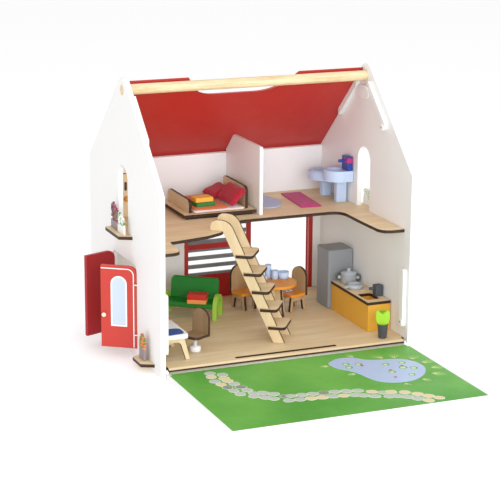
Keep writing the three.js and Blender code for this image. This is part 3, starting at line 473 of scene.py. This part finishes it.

# %% [markdown]
# The garden board is white board with a printed lawn on top. The lawn stops a little short of
# the board's edges, and its green drifts between lighter and darker patches; the lighter patches
# are partly the print's own and partly painted reflection on its satin surface.
# %% Lawn print
def lawn():
    material = paint("garden board white", "#f0efed", 0.45, "#f7f2e8", 0.012)
    tree = material.node_tree
    white = tree.nodes["Principled BSDF"].inputs["Base Color"].links[0].from_socket
    place = object_place(material)
    parts = step(material, "SeparateXYZ", {0: place}).outputs
    low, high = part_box("garden_board")
    margin = 1.6 * MM
    up = step(material, "SeparateXYZ", {0: step(material, "TexCoord").outputs["Normal"]}).outputs[2]
    printed = sums(material, "GREATER_THAN", up, 0.8)
    for axis in (0, 1):
        for test, limit in (("GREATER_THAN", low[axis] + margin), ("LESS_THAN", high[axis] - margin)):
            printed = sums(material, "MULTIPLY", printed, sums(material, test, parts[axis], limit))
    # The drift toward the lighter green is partly painted reflection on the satin print.
    drift = noise(material, place, 5, 2)
    blades = noise(material, place, 500, 3, (1, 0.4, 1))
    broad = blend_colours(material, spread(material, drift, 0.35, 0.65), rgb("#4f9e35"), rgb("#74bb4e"))
    green = blend_colours(material, sums(material, "MULTIPLY", blades, 0.25), broad, rgb("#3f8a2b"))
    into_shader(material, Base_Color=blend_colours(material, printed, white, green))
    return material


LAWN = lawn()
print("lawn done")

# %% [markdown]
# ## Dress the CAD boards
# Where the CAD shape is already right it stays, and only gets its finish.
# %% Finishes for CAD nodes
DRESS = {
    "left_wall": WHITE, "right_wall": WHITE, "back_wall": WHITE, "partition_wall": WHITE,
    "left_rear_batten": WHITE, "right_rear_batten": WHITE,
    "left_front_batten": WHITE, "right_front_batten": WHITE,
    "left_front_stop": WHITE, "right_front_stop": WHITE,
    "floor_board": FLOOR_PLY, "upper_floor": FLOOR_PLY,
    "patio_frame": RED, "sliding_shutter": SHUTTER_PAINT, "rear_roof_panel": RED,
    "near_door": LIT_DOOR_RED, "far_door": SHADED_DOOR_RED, "near_door_knob": CREAM, "carry_pole": BEECH,
    "near_door_lower_ring": RING, "near_door_upper_ring": RING,
    "far_door_lower_ring": RING, "far_door_upper_ring": RING,
    "garden_board": LAWN, "left_garden_hinge": RING, "right_garden_hinge": RING,
    "near_stringer": STRINGER_PLY, "far_stringer": STRINGER_PLY,
    "tread_1": FLOOR_PLY, "tread_2": FLOOR_PLY, "tread_3": FLOOR_PLY,
    "tread_4": FLOOR_PLY, "tread_5": FLOOR_PLY,
    "sofa_shell": SOFA_GREEN, "sofa_left_arm": LIME, "sofa_right_arm": LIME,
    "kitchen_counter": YELLOW, "kitchen_worktop": FLOOR_PLY,
    "bed_deck": FLOOR_PLY, "bed_footboard": SIDE_PLY, "bed_headboard": SIDE_PLY,
    "wash_basin": BATH_BLUE, "toilet": BATH_BLUE, "basin_tap": TAP_BLUE,
}
for node, material in DRESS.items():
    NODES[node].data.materials.clear()
    NODES[node].data.materials.append(material)
print("dressed", len(DRESS), "CAD nodes")

# %% [markdown]
# ## New pieces
# A new piece is built flat in millimetres, given its thickness, and then set in place. `flat`
# draws an outline and rounds its corners, `thicken` makes a board of it with its edges on the
# second material, and `turned` spins a profile on a lathe.
# %% Shaping helpers
def flat(corners):
    """One face from corners (a, b) or (a, b, radius) in millimetres."""
    bm = bmesh.new()
    verts = [bm.verts.new((c[0] * MM, c[1] * MM, 0)) for c in corners]
    bm.faces.new(verts)
    for vert, corner in zip(verts, corners):
        if len(corner) == 3:
            bmesh.ops.bevel(bm, geom=[vert], offset=corner[2] * MM, affect="VERTICES", segments=8,
                            profile=0.5, material=-1)
    return bm


def oblong(width, length, radius):
    """A rectangle about the middle, with one radius at its corners."""
    x = width / 2
    y = length / 2
    return flat([(-x, -y, radius), (x, -y, radius), (x, y, radius), (-x, y, radius)])


def disc(radius, sides=32, squeeze=1.0):
    bm = bmesh.new()
    bmesh.ops.create_circle(bm, cap_ends=True, segments=sides, radius=radius * MM)
    bmesh.ops.scale(bm, vec=(1, squeeze, 1), verts=bm.verts)
    return bm


def thicken(bm, thickness, ease=0.25, face=0, edge=1):
    """Pulls the face up into a board and eases its sharp edges."""
    grown = bmesh.ops.extrude_face_region(bm, geom=bm.faces[:])
    top = [v for v in grown["geom"] if isinstance(v, bmesh.types.BMVert)]
    bmesh.ops.translate(bm, vec=(0, 0, thickness * MM), verts=top)
    bmesh.ops.recalc_face_normals(bm, faces=bm.faces)
    for f in bm.faces:
        f.material_index = face if abs(f.normal.z) > 0.5 else edge
    if ease:
        rims = [e for e in bm.edges if len(e.link_faces) == 2 and e.calc_face_angle() > 1.2
                and abs(e.verts[0].co.z - e.verts[1].co.z) < 1e-7]
        bmesh.ops.bevel(bm, geom=rims, offset=ease * MM, affect="EDGES", segments=2,
                        profile=0.5, material=-1)
    return bm


def turned(profile, steps=36, material=0):
    """A lathe piece from (radius, height) points, bottom to top."""
    bm = bmesh.new()
    verts = [bm.verts.new((r * MM, 0, z * MM)) for r, z in profile]
    edges = [bm.edges.new(pair) for pair in zip(verts, verts[1:])]
    bmesh.ops.spin(bm, geom=verts + edges, cent=(0, 0, 0), axis=(0, 0, 1), angle=2 * math.pi,
                   steps=steps, use_merge=True, use_duplicate=False)
    bmesh.ops.remove_doubles(bm, verts=bm.verts, dist=1e-7)
    bmesh.ops.recalc_face_normals(bm, faces=bm.faces)
    for f in bm.faces:
        f.material_index = material
        f.smooth = True
    return bm


def block(x0, x1, y0, y1, z0, z1, ease=0.6, material=0):
    bm = bmesh.new()
    bmesh.ops.create_cube(bm, size=1)
    size = Vector((x1 - x0, y1 - y0, z1 - z0)) * MM
    middle = Vector((x0 + x1, y0 + y1, z0 + z1)) * MM / 2
    bmesh.ops.scale(bm, vec=size, verts=bm.verts)
    bmesh.ops.translate(bm, vec=middle, verts=bm.verts)
    bmesh.ops.bevel(bm, geom=bm.edges[:], offset=ease * MM, affect="EDGES", segments=3,
                    profile=0.5, material=-1)
    for f in bm.faces:
        f.material_index = material
    return bm


def moved(bm, x=0, y=0, z=0, matrix=None):
    if matrix is not None:
        bmesh.ops.transform(bm, matrix=matrix, verts=bm.verts)
    bmesh.ops.translate(bm, vec=Vector((x, y, z)) * MM, verts=bm.verts)
    return bm


# %% [markdown]
# A piece is often several shapes. They are joined in one mesh, moved to their place in the mesh
# itself, and tied to the body that carries them.
# %% Assemble a piece
def make(name, parts, place, materials, body="house", replaces=()):
    """One object from several shapes, set in place in the row frame and tied to its body."""
    whole = bmesh.new()
    for bm in parts:
        mesh = bpy.data.meshes.new("part")
        bm.to_mesh(mesh)
        bm.free()
        whole.from_mesh(mesh)
        bpy.data.meshes.remove(mesh)
    bmesh.ops.transform(whole, matrix=place, verts=whole.verts)
    mesh = bpy.data.meshes.new(name)
    whole.to_mesh(mesh)
    whole.free()
    for material in materials:
        mesh.materials.append(material)
    piece = bpy.data.objects.new(name, mesh)
    bpy.context.scene.collection.objects.link(piece)
    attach(piece, body)
    if replaces:
        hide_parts(*replaces)
    print(name, len(mesh.polygons), "faces")
    return piece


# %% [markdown]
# ## Doors
# The near leaf carries a raised white line along its top and hinge side, and a tall arched pane
# in a white surround.
# %% Door details
LEAF_H = 136.9
LEAF_W = 59.6
LEAF = spot(-HALF, 113.5, 15.3, 55) @ FACING_X
PROUD = 0.35


def on_leaf(bm, level=0.0):
    """Lays a thin shape on the leaf's outer face."""
    return moved(bm, z=-PROUD - level)


stripe = flat([(4.6, 1.5), (4.6, LEAF_H - 4, 11), (LEAF_W, LEAF_H - 4), (LEAF_W, LEAF_H - 5.6),
               (6.2, LEAF_H - 5.6, 9.5), (6.2, 1.5)])
surround = flat([(16.5, 35.8), (43.5, 35.8), (43.5, 120, 13.4), (16.5, 120, 13.4)])
pane = flat([(18.7, 38), (41.3, 38), (41.3, 117.8, 11.2), (18.7, 117.8, 11.2)])
make("door_line", [on_leaf(thicken(stripe, PROUD, 0.1, 0, 0))], LEAF, [RING], "near_leaf")
make("door_surround", [on_leaf(thicken(surround, PROUD, 0.1, 0, 0))], LEAF, [RING], "near_leaf")
make("door_pane", [on_leaf(thicken(pane, PROUD, 0.1, 0, 0), 0.15)], LEAF, [PANE], "near_leaf")

# %% [markdown]
# ## Chairs
# Each chair is plywood plates that slot together: a round-topped back, a seat, and two leg
# plates whose burnt edges are what shows from the front.
# %% Dining chairs
PLY = 5


def leg_plate(radius, top):
    return flat([(-radius, 0), (-radius + 5, 0), (-radius + 8, top - 7, 3), (radius - 8, top - 7, 3),
                 (radius - 5, 0), (radius, 0), (radius - 3, top), (-radius + 3, top)])


def chair_parts(seat_top, back_top, radius):
    parts = []
    for side in (-1, 1):
        leg = thicken(leg_plate(radius, seat_top - PLY), PLY, 0.2, 1, 2)
        parts.append(moved(leg, x=side * radius * 0.62 - PLY / 2, matrix=FACING_X))
    round_top = radius * 0.98
    back = flat([(-radius, seat_top - PLY), (radius, seat_top - PLY), (radius, back_top, round_top),
                 (-radius, back_top, round_top)])
    parts.append(moved(thicken(back, PLY, 0.3, 1, 2), y=radius, matrix=FACING_Y))
    seat = flat([(-radius, -radius, 6), (radius, -radius, 6),
                 (radius, radius - PLY), (-radius, radius - PLY)])
    parts.append(moved(thicken(seat, PLY, 0.4, 0, 0), z=seat_top - PLY))
    return parts


CHAIR_FINISH = [ORANGE, BROWN_FACE, EDGE]
make("left_dining_chair", chair_parts(31, 75, 18), spot(30, 268, GROUND, 18), CHAIR_FINISH,
     replaces=["left_chair"])
make("right_dining_chair", chair_parts(31, 74, 18), spot(106, 230, GROUND, -72), CHAIR_FINISH,
     replaces=["right_chair"])

# %% [markdown]
# The desk chair has one round white foot and a post in place of legs, and its plates are darker
# than the others: painted shade, for plates that stand on their shadow side.
# %% Desk chair
SEAT_Z = 24
POST_TOP = SEAT_Z + 0.5
foot = turned([(0, 0), (8.5, 0), (9, 0.6), (9, 8.4), (8.5, 9), (3, 9.4), (2.8, POST_TOP), (0, POST_TOP)],
              material=3)
seat = flat([(-17, -17, 9), (17, -17, 9), (17, 12), (-17, 12)])
back = flat([(-17, SEAT_Z), (17, SEAT_Z), (17, 69, 16.5), (-17, 69, 16.5)])
plates = [moved(thicken(seat, PLY, 0.3, 1, 2), z=SEAT_Z),
          moved(thicken(back, PLY, 0.3, 1, 2), y=17, matrix=FACING_Y)]
make("swivel_chair", [foot] + plates, spot(-136, 71, GROUND, -62), [ORANGE, SHADED_BIRCH_FACE, EDGE, WHITE],
     replaces=["desk_chair"])

# %% [markdown]
# ## Round table with its dishes
# An orange disc stands on two plates that cross at their middles.
# %% Table
TABLE_H = 60
foot_cut = [(-22, 0), (-15, 0), (-9, 20, 6), (9, 20, 6), (15, 0), (22, 0)]
table_leg = foot_cut + [(15, TABLE_H - PLY), (-15, TABLE_H - PLY)]
cross = [moved(thicken(flat(table_leg), PLY, 0.2, 1, 2), y=PLY / 2, matrix=FACING_Y),
         moved(thicken(flat(table_leg), PLY, 0.2, 1, 2), x=-PLY / 2, matrix=FACING_X)]
top = moved(thicken(disc(38, 64), PLY, 0.6, 0, 0), z=TABLE_H - PLY)
make("round_table", cross + [top], spot(62, 208, GROUND, 20), [ORANGE, FACE, EDGE],
     replaces=["dining_table"])

# %% [markdown]
# The dishes are turned wood, so each is one profile on the lathe, down the outside and up the
# hollow. A card lies on the chair beside them.
# %% Dishes and card
TABLE_Z = GROUND + TABLE_H
DISHES = {
    "jug": (60, 232.6, [(0, 0), (5, 0), (5.8, 1), (6, 12), (5.2, 18), (5.6, 24), (4.8, 24), (4.5, 18),
                        (5.2, 12), (5, 2), (0, 2)]),
    "mug": (67.5, 221, [(0, 0), (4.6, 0), (5.6, 1), (6, 16), (5.2, 16), (4.8, 2), (0, 2)]),
    "bowl": (84, 222, [(0, 0), (7.6, 0), (8.8, 1), (10, 12), (9.2, 12), (8, 2), (0, 2)]),
    "egg_cup": (49, 222, [(0, 0), (4, 0), (4.4, 1), (4, 7), (0, 8)]),
}
for name, (x, y, profile) in DISHES.items():
    make(name, [turned(profile)], spot(x, y, TABLE_Z), [BATH_BLUE])
card = thicken(oblong(18, 14, 1), 0.5, 0.1, 0, 0)
picture = moved(thicken(flat([(-7, -5), (7, -5), (7, 5), (-7, 5)]), 0.2, 0, 1, 1), z=0.45)
mark = moved(thicken(disc(3, 10, 0.7), 0.2, 0, 2, 2), z=0.6)
make("seat_card", [card, picture, mark], spot(101, 236, GROUND + 31.1, 12), [MAGENTA, WHITE, SOFA_GREEN])

# %% [markdown]
# ## Desk
# A thick white board on two plywood plates with spread feet, with a blue sheet on it.
# %% Desk
DESK_TOP = 43.5
DESK_BOARD = 7.5
UNDER_BOARD = DESK_TOP - DESK_BOARD
foot_cut = [(-25.5, 0), (-18.5, 0), (-9, 30, 5), (9, 30, 5), (18.5, 0), (25.5, 0)]
desk_leg = foot_cut + [(16, UNDER_BOARD), (-16, UNDER_BOARD)]
legs = [moved(thicken(flat(desk_leg), PLY, 0.2, 1, 2), y=y + PLY / 2, matrix=FACING_Y) for y in (-35, 35)]
desk_top = moved(thicken(oblong(44, 82, 4), DESK_BOARD, 0.8, 0, 0), z=UNDER_BOARD)
make("writing_desk", legs + [desk_top], spot(-184, 72, GROUND), [WHITE, FACE, EDGE],
     replaces=["desk"])
blue_sheet = flat([(-14, -20, 5), (15, -17, 7), (16, 12, 8), (-12, 14, 6)])
make("blue_sheet", [thicken(blue_sheet, 0.5, 0.1, 0, 0)], spot(-182, 52, GROUND + DESK_TOP + 0.05),
     [PAPER_BLUE])

# %% [markdown]
# Toy books lie in pairs on the sofa and on the bed: each is one painted block with round corners.
# %% Books
RED_COVER = paint("red cover", "#c8302a", 0.45)
ORANGE_COVER = paint("orange cover", "#ea9450", 0.5)
YELLOW_COVER = paint("yellow cover", "#efae3f", 0.5)
GREEN_COVER = paint("green cover", "#2f7a38", 0.5)


def book(name, place, cover, size):
    width, length, thickness = size
    block_of_paint = thicken(oblong(width, length, 1.5), thickness, 1.1, 0, 0)
    return make(name, [block_of_paint], place, [cover])


book("orange_book", spot(-69, 237, GROUND + 28.3, -30), ORANGE_COVER, (33, 22, 7))
book("red_book", spot(-68, 238, GROUND + 35.4, -34), RED_COVER, (33, 21, 9))
book("green_book", spot(-60, 233, 213.6, 4), GREEN_COVER, (34, 25, 7))
book("yellow_book", spot(-61, 235, 220.7, 2), YELLOW_COVER, (32, 23, 8))

# %% [markdown]
# ## Kitchen
# A dark tap beside the sink, a lidded pot and a flat pan on the worktop.
# %% Tap and pots
WORKTOP = 65.3
post = thicken(oblong(14, 14, 2), 19, 0.7, 0, 0)
spout = block(-16, -6, -2.4, 2.4, 11, 15.5, 0.8)
make("kitchen_tap", [post, spout], spot(203, 95, WORKTOP), [DARK_GREY])
LID = [(13.4, 19), (3.4, 20.6), (2.6, 22), (3.8, 24.4), (2.4, 26), (0, 26.2)]
pot = turned([(0, 0), (12.6, 0), (13.6, 1), (13.6, 17), (14.2, 17.8)] + LID)
EAR_Z = 10
ears = []
for side in (-1, 1):
    ear = thicken(disc(6.5, 24), 2.6, 0.3, 1, 1)
    eye = thicken(disc(2.8, 16), 0.4, 0.1, 0, 0)
    ears.append(moved(ear, x=side * 15, y=1.3, z=EAR_Z, matrix=FACING_Y))
    ears.append(moved(eye, x=side * 16, y=-1.3, z=EAR_Z, matrix=FACING_Y))
make("lidded_pot", [pot] + ears, spot(191, 184, WORKTOP + FIT, -25), [PALE_GREY, DARK_GREY],
     replaces=["stew_pot"])
pan = turned([(0, 0), (11.5, 0), (13, 1), (13.4, 8), (12.4, 8), (12, 1.6), (0, 1.6)])
handle = block(12.5, 26, -2.2, 2.2, 4.5, 7.5, 0.8)
make("pan", [pan, handle], spot(186, 148, WORKTOP + FIT, 200), [PALE_GREY])

# %% [markdown]
# The fridge is one grey block whose edges are well rounded. Its size comes from its CAD node.
# %% Fridge
low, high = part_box("fridge")
width, length, height = (high - low) / MM
fridge = flat([(0, 0, 4), (width, 0, 4), (width, length, 4), (0, length, 4)])
make("fridge_block", [thicken(fridge, height, 2.2, 0, 0)], Matrix.Translation(low), [GREY],
     replaces=["fridge"])

# %% [markdown]
# The potted tulip is a turned tub with a flat flower cut from board, and two printed spots.
# %% Potted tulip
tub = turned([(0, 0), (6.4, 0), (7, 0.6), (9, 23), (9.3, 23.4), (8.4, 24), (8, 21), (0, 21)])
petals = [(0, 13), (11.5, 29, 5), (11.5, 47, 5), (5.5, 47, 2.4), (0, 41), (-5.5, 47, 2.4),
          (-11.5, 47, 5), (-11.5, 29, 5)]
flower = moved(thicken(flat(petals), 3, 0.5, 1, 1), y=1.5, matrix=FACING_Y)
spots = []
for x in (-3.8, 3.8):
    spots.append(moved(thicken(disc(1.5, 12), 0.4, 0.1, 2, 2), x=x, y=-1.5, z=38, matrix=FACING_Y))
make("tulip", [tub, flower] + spots, spot(178, 24, GROUND, -23), [DARK_GREY, TULIP, LIME],
     replaces=["potted_tulip"])

# %% [markdown]
# ## Bed
# The mattress, the quilt and the pillows are stuffed cloth. Each starts as a thin flat shape, is
# remeshed finely and blown up a little by a cloth simulation at ten times its size, where the
# solver is steady, and is then brought back to its real size and laid in place.
# %% Stuffed cloth
SIM_SCALE = 10


def stuffed(name, size, place, material, replaces, rise):
    width, length, thickness = size
    bm = thicken(oblong(width, length, 5), thickness * 0.55, 0.8, 0, 0)
    bmesh.ops.scale(bm, vec=(SIM_SCALE,) * 3, verts=bm.verts)
    mesh = bpy.data.meshes.new(name)
    bm.to_mesh(mesh)
    bm.free()
    mesh.materials.append(material)
    piece = bpy.data.objects.new(name, mesh)
    bpy.context.scene.collection.objects.link(piece)
    bpy.context.view_layer.objects.active = piece
    puff_up(piece, rise * MM * SIM_SCALE)
    piece.data.transform(place @ Matrix.Scale(1 / SIM_SCALE, 4))
    for polygon in piece.data.polygons:
        polygon.use_smooth = True
    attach(piece, "house")
    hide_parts(*replaces)
    print(name, len(piece.data.polygons), "faces")
    return piece


def puff_up(piece, most):
    """Remesh, blow up with pressure, and keep every point within `most` of where it was."""
    remesh = piece.modifiers.new("remesh", "REMESH")
    remesh.mode = "VOXEL"
    remesh.voxel_size = 0.018
    bpy.ops.object.modifier_apply(modifier=remesh.name)
    before = [v.co.copy() for v in piece.data.vertices]
    cloth_step = piece.modifiers.new("cloth", "CLOTH")
    settings = cloth_step.settings
    settings.quality = 6
    settings.mass = 0.25
    settings.use_pressure = True
    settings.uniform_pressure_force = 4
    settings.effector_weights.gravity = 0
    settings.tension_stiffness = 12
    settings.compression_stiffness = 12
    settings.bending_stiffness = 0.4
    scene = bpy.context.scene
    for number in range(1, 21):
        scene.frame_set(number)
    bpy.ops.object.modifier_apply(modifier=cloth_step.name)
    scene.frame_set(1)
    for vert, old in zip(piece.data.vertices, before):
        shift = vert.co - old
        if shift.length > most:
            vert.co = old + shift * (most / shift.length)
    smoother = piece.modifiers.new("smooth", "SUBSURF")
    smoother.levels = smoother.render_levels = 1
    bpy.ops.object.modifier_apply(modifier=smoother.name)


BED_TOP = 206.3
MATTRESS_TOP = 213.5
stuffed("mattress", (95, 110, 6), spot(-38.7, 262, BED_TOP + 0.6), MATTRESS_CLOTH,
        ["blanket"], 2)
stuffed("orange_quilt", (66, 106, 3.4), spot(-52, 263, MATTRESS_TOP - 2.4), BLANKET_CLOTH,
                [], 1.5)


def propped(name, width, length, x, y, tilt, replaced):
    """A cushion that leans on the headboard. It is cut larger, because stuffing draws it in."""
    lift = width / 2 * math.sin(math.radians(tilt))
    place = spot(x, y, MATTRESS_TOP + FIT + lift, 3, -tilt)
    stuffed(name, (width * 1.16, length * 1.14, 9), place, CRIMSON, [replaced], 3)


propped("near_cushion", 34.6, 60, -5, 239, 45, "front_pillow")
propped("far_cushion", 36, 46, -10, 294.5, 20, "rear_pillow")

# %% [markdown]
# ## Mats
# Both mats are thin felt that lies flat on the upper floor.
# %% Felt mats
def mat(name, outline, place, material, replaced):
    bm = outline
    bmesh.ops.subdivide_edges(bm, edges=bm.edges[:], cuts=2, use_grid_fill=True)
    bmesh.ops.triangulate(bm, faces=bm.faces)
    piece = make(name, [thicken(bm, 1.9, 0.3, 0, 0)], place, [material], replaces=[replaced])
    return piece


mat("oval_mat", disc(32, 48, 50 / 32), spot(66, 281, UPSTAIRS), BLUE_FELT, "round_mat")
mat("bath_mat", oblong(37, 109, 2), spot(137, 270, UPSTAIRS, -4.3), PINK_FELT, "pink_mat")

# %% [markdown]
# ## Garden print
# The pond, its lilies, the grass around it and the stepping stones are printed on the board.
# Here each is a film a fraction of a millimetre thick.
# %% Pond and lilies
POND_BLUE = paint("pond blue", "#b3c5e6", 0.35, uneven=0.03)
LILY_GREEN = paint("lily green", "#6fae3f", 0.45)
LILY_PALE = paint("lily pale", "#d3e0c0", 0.45)
PETAL_RED = paint("petal red", "#c2566a", 0.45)
GARDEN_TOP = 7.0
FILM = 0.18
GARDEN_SPOT = spot(0, 0, GARDEN_TOP)
pond = flat([(44, -47, 8), (69, -28, 10), (95, -31, 10), (112, -54, 8), (135, -60, 10), (162, -64, 14),
             (181, -84, 14), (184, -119, 14), (165, -152, 14), (135, -172, 14), (104, -171, 14),
             (81, -156, 12), (73, -128, 8), (70, -110, 8), (62, -92, 8), (47, -74, 10)])
make("pond", [thicken(pond, FILM, 0, 0, 0)], GARDEN_SPOT, [POND_BLUE], "garden")

lilies = []
for x, y, radius in ((71, -60, 6), (69, -77, 6), (90, -67, 6), (130, -84, 6), (158, -86, 6), (149, -108, 7),
                     (164, -116, 6.5), (123, -121, 6), (146, -144, 6)):
    lilies.append(moved(thicken(disc(radius, 20), FILM, 0, 0, 0), x, y, FILM))
    lilies.append(moved(thicken(disc(radius * 0.62, 16), FILM, 0, 1, 1), x - 1, y - 0.6, FILM * 2))
for x, y in ((92, -76), (124, -113), (116, -146), (151, -100)):
    lilies.append(moved(thicken(disc(2.6, 8), FILM, 0, 2, 2), x, y, FILM * 3))
make("lilies", lilies, GARDEN_SPOT, [LILY_GREEN, LILY_PALE, PETAL_RED], "garden")

# %% [markdown]
# Tufts of grass fan out from the rim of the pond, as fans of long thin triangles.
# %% Grass tufts
GRASS = paint("grass yellow", "#d9e79c", 0.5)
tufts = []
TUFTS = ((96, -34, 92, 22), (138, -58, 100, 30), (156, -62, 66, 30), (178, -78, 44, 28), (186, -100, 20, 26),
         (188, -126, -5, 26), (176, -150, -32, 26), (150, -168, -62, 20), (118, -176, -100, 20),
         (66, -108, 196, 18), (42, -60, 170, 16))
for x, y, heading, reach in TUFTS:
    for lean in (-30, -18, -6, 7, 19, 32):
        angle = math.radians(heading + lean)
        blade = flat([(0, -0.6), (reach * (1 - abs(lean) / 90), 0), (0, 0.6)])
        turn = Matrix.Rotation(angle, 4, "Z")
        tufts.append(moved(thicken(blade, FILM, 0, 0, 0), x, y, FILM * 2, turn))
make("grass_tufts", tufts, GARDEN_SPOT, [GRASS], "garden")

# %% [markdown]
# The stepping stones follow one bent path in two rows. A seeded draw gives each its outline and
# its colour. No two neighbours share a level, so films that cross don't flicker.
# %% Stepping stones
STONE_GREY = paint("stone grey", "#bcc3b8", 0.5, uneven=0.08)
STONE_CREAM = paint("stone cream", "#e2cfa5", 0.5, uneven=0.08)
STONE_DARK = paint("stone dark", "#8b9184", 0.5, uneven=0.1)
STONE_RIM = paint("stone rim", "#dfe5d2", 0.5)
PATH = [Vector(p) for p in ((-136, -17), (-146, -56), (-137, -93), (-130, -130), (-95, -158),
                            (-85, -174), (-46, -178), (-7, -182), (30, -190), (60, -212),
                            (80, -215), (97, -226), (122, -256))]
STONE_GAP = 17.5
draw = random.Random(11)


def along_path(points, gap):
    """Places every `gap` along a broken line, with the direction there."""
    rest = gap / 2
    for start, end in zip(points, points[1:]):
        run = (end - start).length
        while rest <= run:
            yield start.lerp(end, rest / run), (end - start).normalized()
            rest += gap
        rest -= run


def stone_outline(radius, squeeze, wobble):
    outline = disc(radius, 11, squeeze)
    for vert, push in zip(outline.verts, wobble):
        vert.co *= push
    return outline


stones = []
for row in (-1, 1):
    for number, (middle, way) in enumerate(along_path(PATH, STONE_GAP)):
        side = Vector((-way.y, way.x)) * row * 9.3
        shift = way * (STONE_GAP / 2 if row > 0 else 0)
        kind = draw.choices((0, 1, 2), (7, 3, 1))[0]
        squeeze = draw.uniform(0.86, 1.0)
        wobble = [draw.uniform(0.9, 1.06) for _ in range(11)]
        x, y = middle + side + shift
        turn = Matrix.Rotation(math.atan2(way.y, way.x), 4, "Z")
        level = 0.012 * (number % 4 + (row > 0) * 4)
        rim = thicken(stone_outline(9.7, squeeze, wobble), FILM, 0, 3, 3)
        face = thicken(stone_outline(8.7, squeeze, wobble), FILM, 0, kind, kind)
        stones.append(moved(rim, x, y, level, turn))
        stones.append(moved(face, x, y, level + 0.12, turn))
STONE_FINISH = [STONE_GREY, STONE_CREAM, STONE_DARK, STONE_RIM]
make("stepping_stones", stones, GARDEN_SPOT, STONE_FINISH, "garden")

# %% [markdown]
# ## Flower boards
# Thin printed boards stand on the sills: a trough, leaves and many small blossoms.
# %% Flowers on the sills
LEAF_GREEN = paint("leaf green", "#5f8f4a", 0.5)
PURPLE = paint("purple", "#7a3f66", 0.5)
BURGUNDY = paint("burgundy", "#8e3350", 0.5)
PINK = paint("blossom pink", "#c9608c", 0.5)
WHITE_BLOSSOM = paint("blossom white", "#f2f1ee", 0.5)
PALE_LEAF = paint("pale leaf", "#b9cfa4", 0.5)
TROUGH = paint("trough grey", "#94888a", 0.55)
RUST = paint("rust", "#b9603a", 0.5)
FLOWERS = [TROUGH, LEAF_GREEN, PURPLE, BURGUNDY, PINK, WHITE_BLOSSOM, PALE_LEAF, RUST, ORANGE_COVER]
BOARD_T = 3.0


def blossoms(dice, y0, y1, low, height, peak, kinds, trough):
    """Blossoms fill a mound over a trough. `peak` is where along it the mound is highest, 0 to 1."""
    box = flat([(y0, 0), (y1, 0), (y1, low, 1), (y0, low, 1)])
    parts = [moved(thicken(box, BOARD_T, 0.3, trough, trough), matrix=FACING_X)]
    for number in range(int((y1 - y0) * height / 9)):
        share = dice.uniform(0.04, 0.96)
        rise = 1 - 0.55 * abs(share - peak)
        z = low - 1 + (height - low) * rise * dice.uniform(0, 1)
        kind = dice.choice(kinds)
        depth = BOARD_T + dice.uniform(-0.6, 0.6)
        bloom = thicken(disc(dice.uniform(1.1, 2.3), 7, dice.uniform(0.7, 1.0)), depth, 0.2, kind, kind)
        turn = FACING_X @ Matrix.Rotation(dice.uniform(0, 3), 4, "Z")
        parts.append(moved(bloom, (BOARD_T - depth) / 2, y0 + (y1 - y0) * share, z, turn))
    return parts


dice = random.Random(5)
upper_left = (blossoms(dice, 144, 175, 13, 34, 0.8, [5, 5, 6, 5, 1], 5)
              + blossoms(dice, 175, 209, 14, 44, 0.7, [2, 2, 3, 3, 4, 1, 1], 0))
upper_right = blossoms(dice, 144, 209, 13, 32, 0.5, [5, 5, 6], 5)
lower_left = blossoms(dice, 50, 74, 20, 43, 0.5, [7, 8, 7, 8, 1], 0)
SILL_MIDDLE = 229
BOARDS = (("upper_left", upper_left, -1, UPSTAIRS), ("upper_right", upper_right, 1, UPSTAIRS),
          ("lower_left", lower_left, -1, GROUND))
for word, parts, side, z in BOARDS:
    make(f"{word}_blossoms", parts, spot(side * SILL_MIDDLE - BOARD_T / 2, 0, z), FLOWERS,
         replaces=[f"{word}_flowers"])

# %% [markdown]
# ## Small fittings of the shell
# A white nub with a grey dot of painted shade in its middle sits at the foot of each stop and of
# each front batten, and a flat oval pad sits under each end of the pole.
# %% Nubs and pads
def nub(name, side, y, z, radius=6.5):
    inside = side * (INNER - 0.2)
    start = inside if side < 0 else inside - 8
    button = thicken(disc(radius, 32), 8, 1.2, 0, 0)
    # The grey dot is painted shade, for the shade in the middle of the nub.
    dot = moved(thicken(disc(1.6, 16), 0.4, 0.1, 1, 1), z=7.9 if side < 0 else -0.3)
    place = Matrix.Translation(at(start, y, z)) @ FACING_X
    return make(name, [button, dot], place, [WHITE, SHADE_DOT_GREY])


for side, word in ((-1, "left"), (1, "right")):
    nub(f"{word}_stop_nub", side, 14, 42, 6)
    nub(f"{word}_batten_nub", side, 100, 353, 6)
    pad = thicken(disc(25, 48, 0.5), 5, 1.0, 0, 0)
    inside = -INNER + 0.1 if side < 0 else INNER - 5.1
    place = Matrix.Translation(at(inside, 181, 399)) @ FACING_X
    make(f"{word}_pole_pad", [pad], place, [WHITE])

# %% [markdown]
# A lamp stands behind the left window: a plate with a slit, and an orange ball in front of it.
# %% Lamp by the left window
plate = flat([(-13, 0), (13, 0), (13, 74, 12.5), (-13, 74, 12.5)])
slit = flat([(-2.2, 45, 2), (2.2, 45, 2), (2.2, 60, 2), (-2.2, 60, 2)])
lamp_plate = moved(thicken(plate, PLY, 0.3, 1, 2), y=PLY, matrix=FACING_Y)
lamp_slit = moved(thicken(slit, 0.3, 0, 2, 2), y=0.1, matrix=FACING_Y)
ball = turned([(0, 0), (2.4, 0.6), (4.1, 2.6), (4.5, 4.8), (3.9, 7.2), (2.2, 8.8), (0, 9.2)], 24)
make("ply_lamp", [lamp_plate, lamp_slit, moved(ball, 1, -6, 27)], spot(-187, 262, UPSTAIRS),
     [ORANGE, FACE, EDGE])

# %% [markdown]
# ## Bathroom
# The basin tap has a magenta lever, and the toilet a lid ring.
# %% Bathroom details
BASIN_Z = UPSTAIRS + 57.5 + FIT
lever = block(-11, 0.2, -12.6, -0.5, 13, 22, 1.2)
make("tap_lever", [lever], spot(INNER - 1.5, 229, BASIN_Z), [MAGENTA])
ring = turned([(12.5, 0), (21.5, 0), (22, 0.5), (21.5, 2), (12.5, 2), (12.5, 0)], 48)
make("toilet_seat", [ring], spot(INNER - 25, 296, UPSTAIRS + 44.1), [BATH_BLUE])
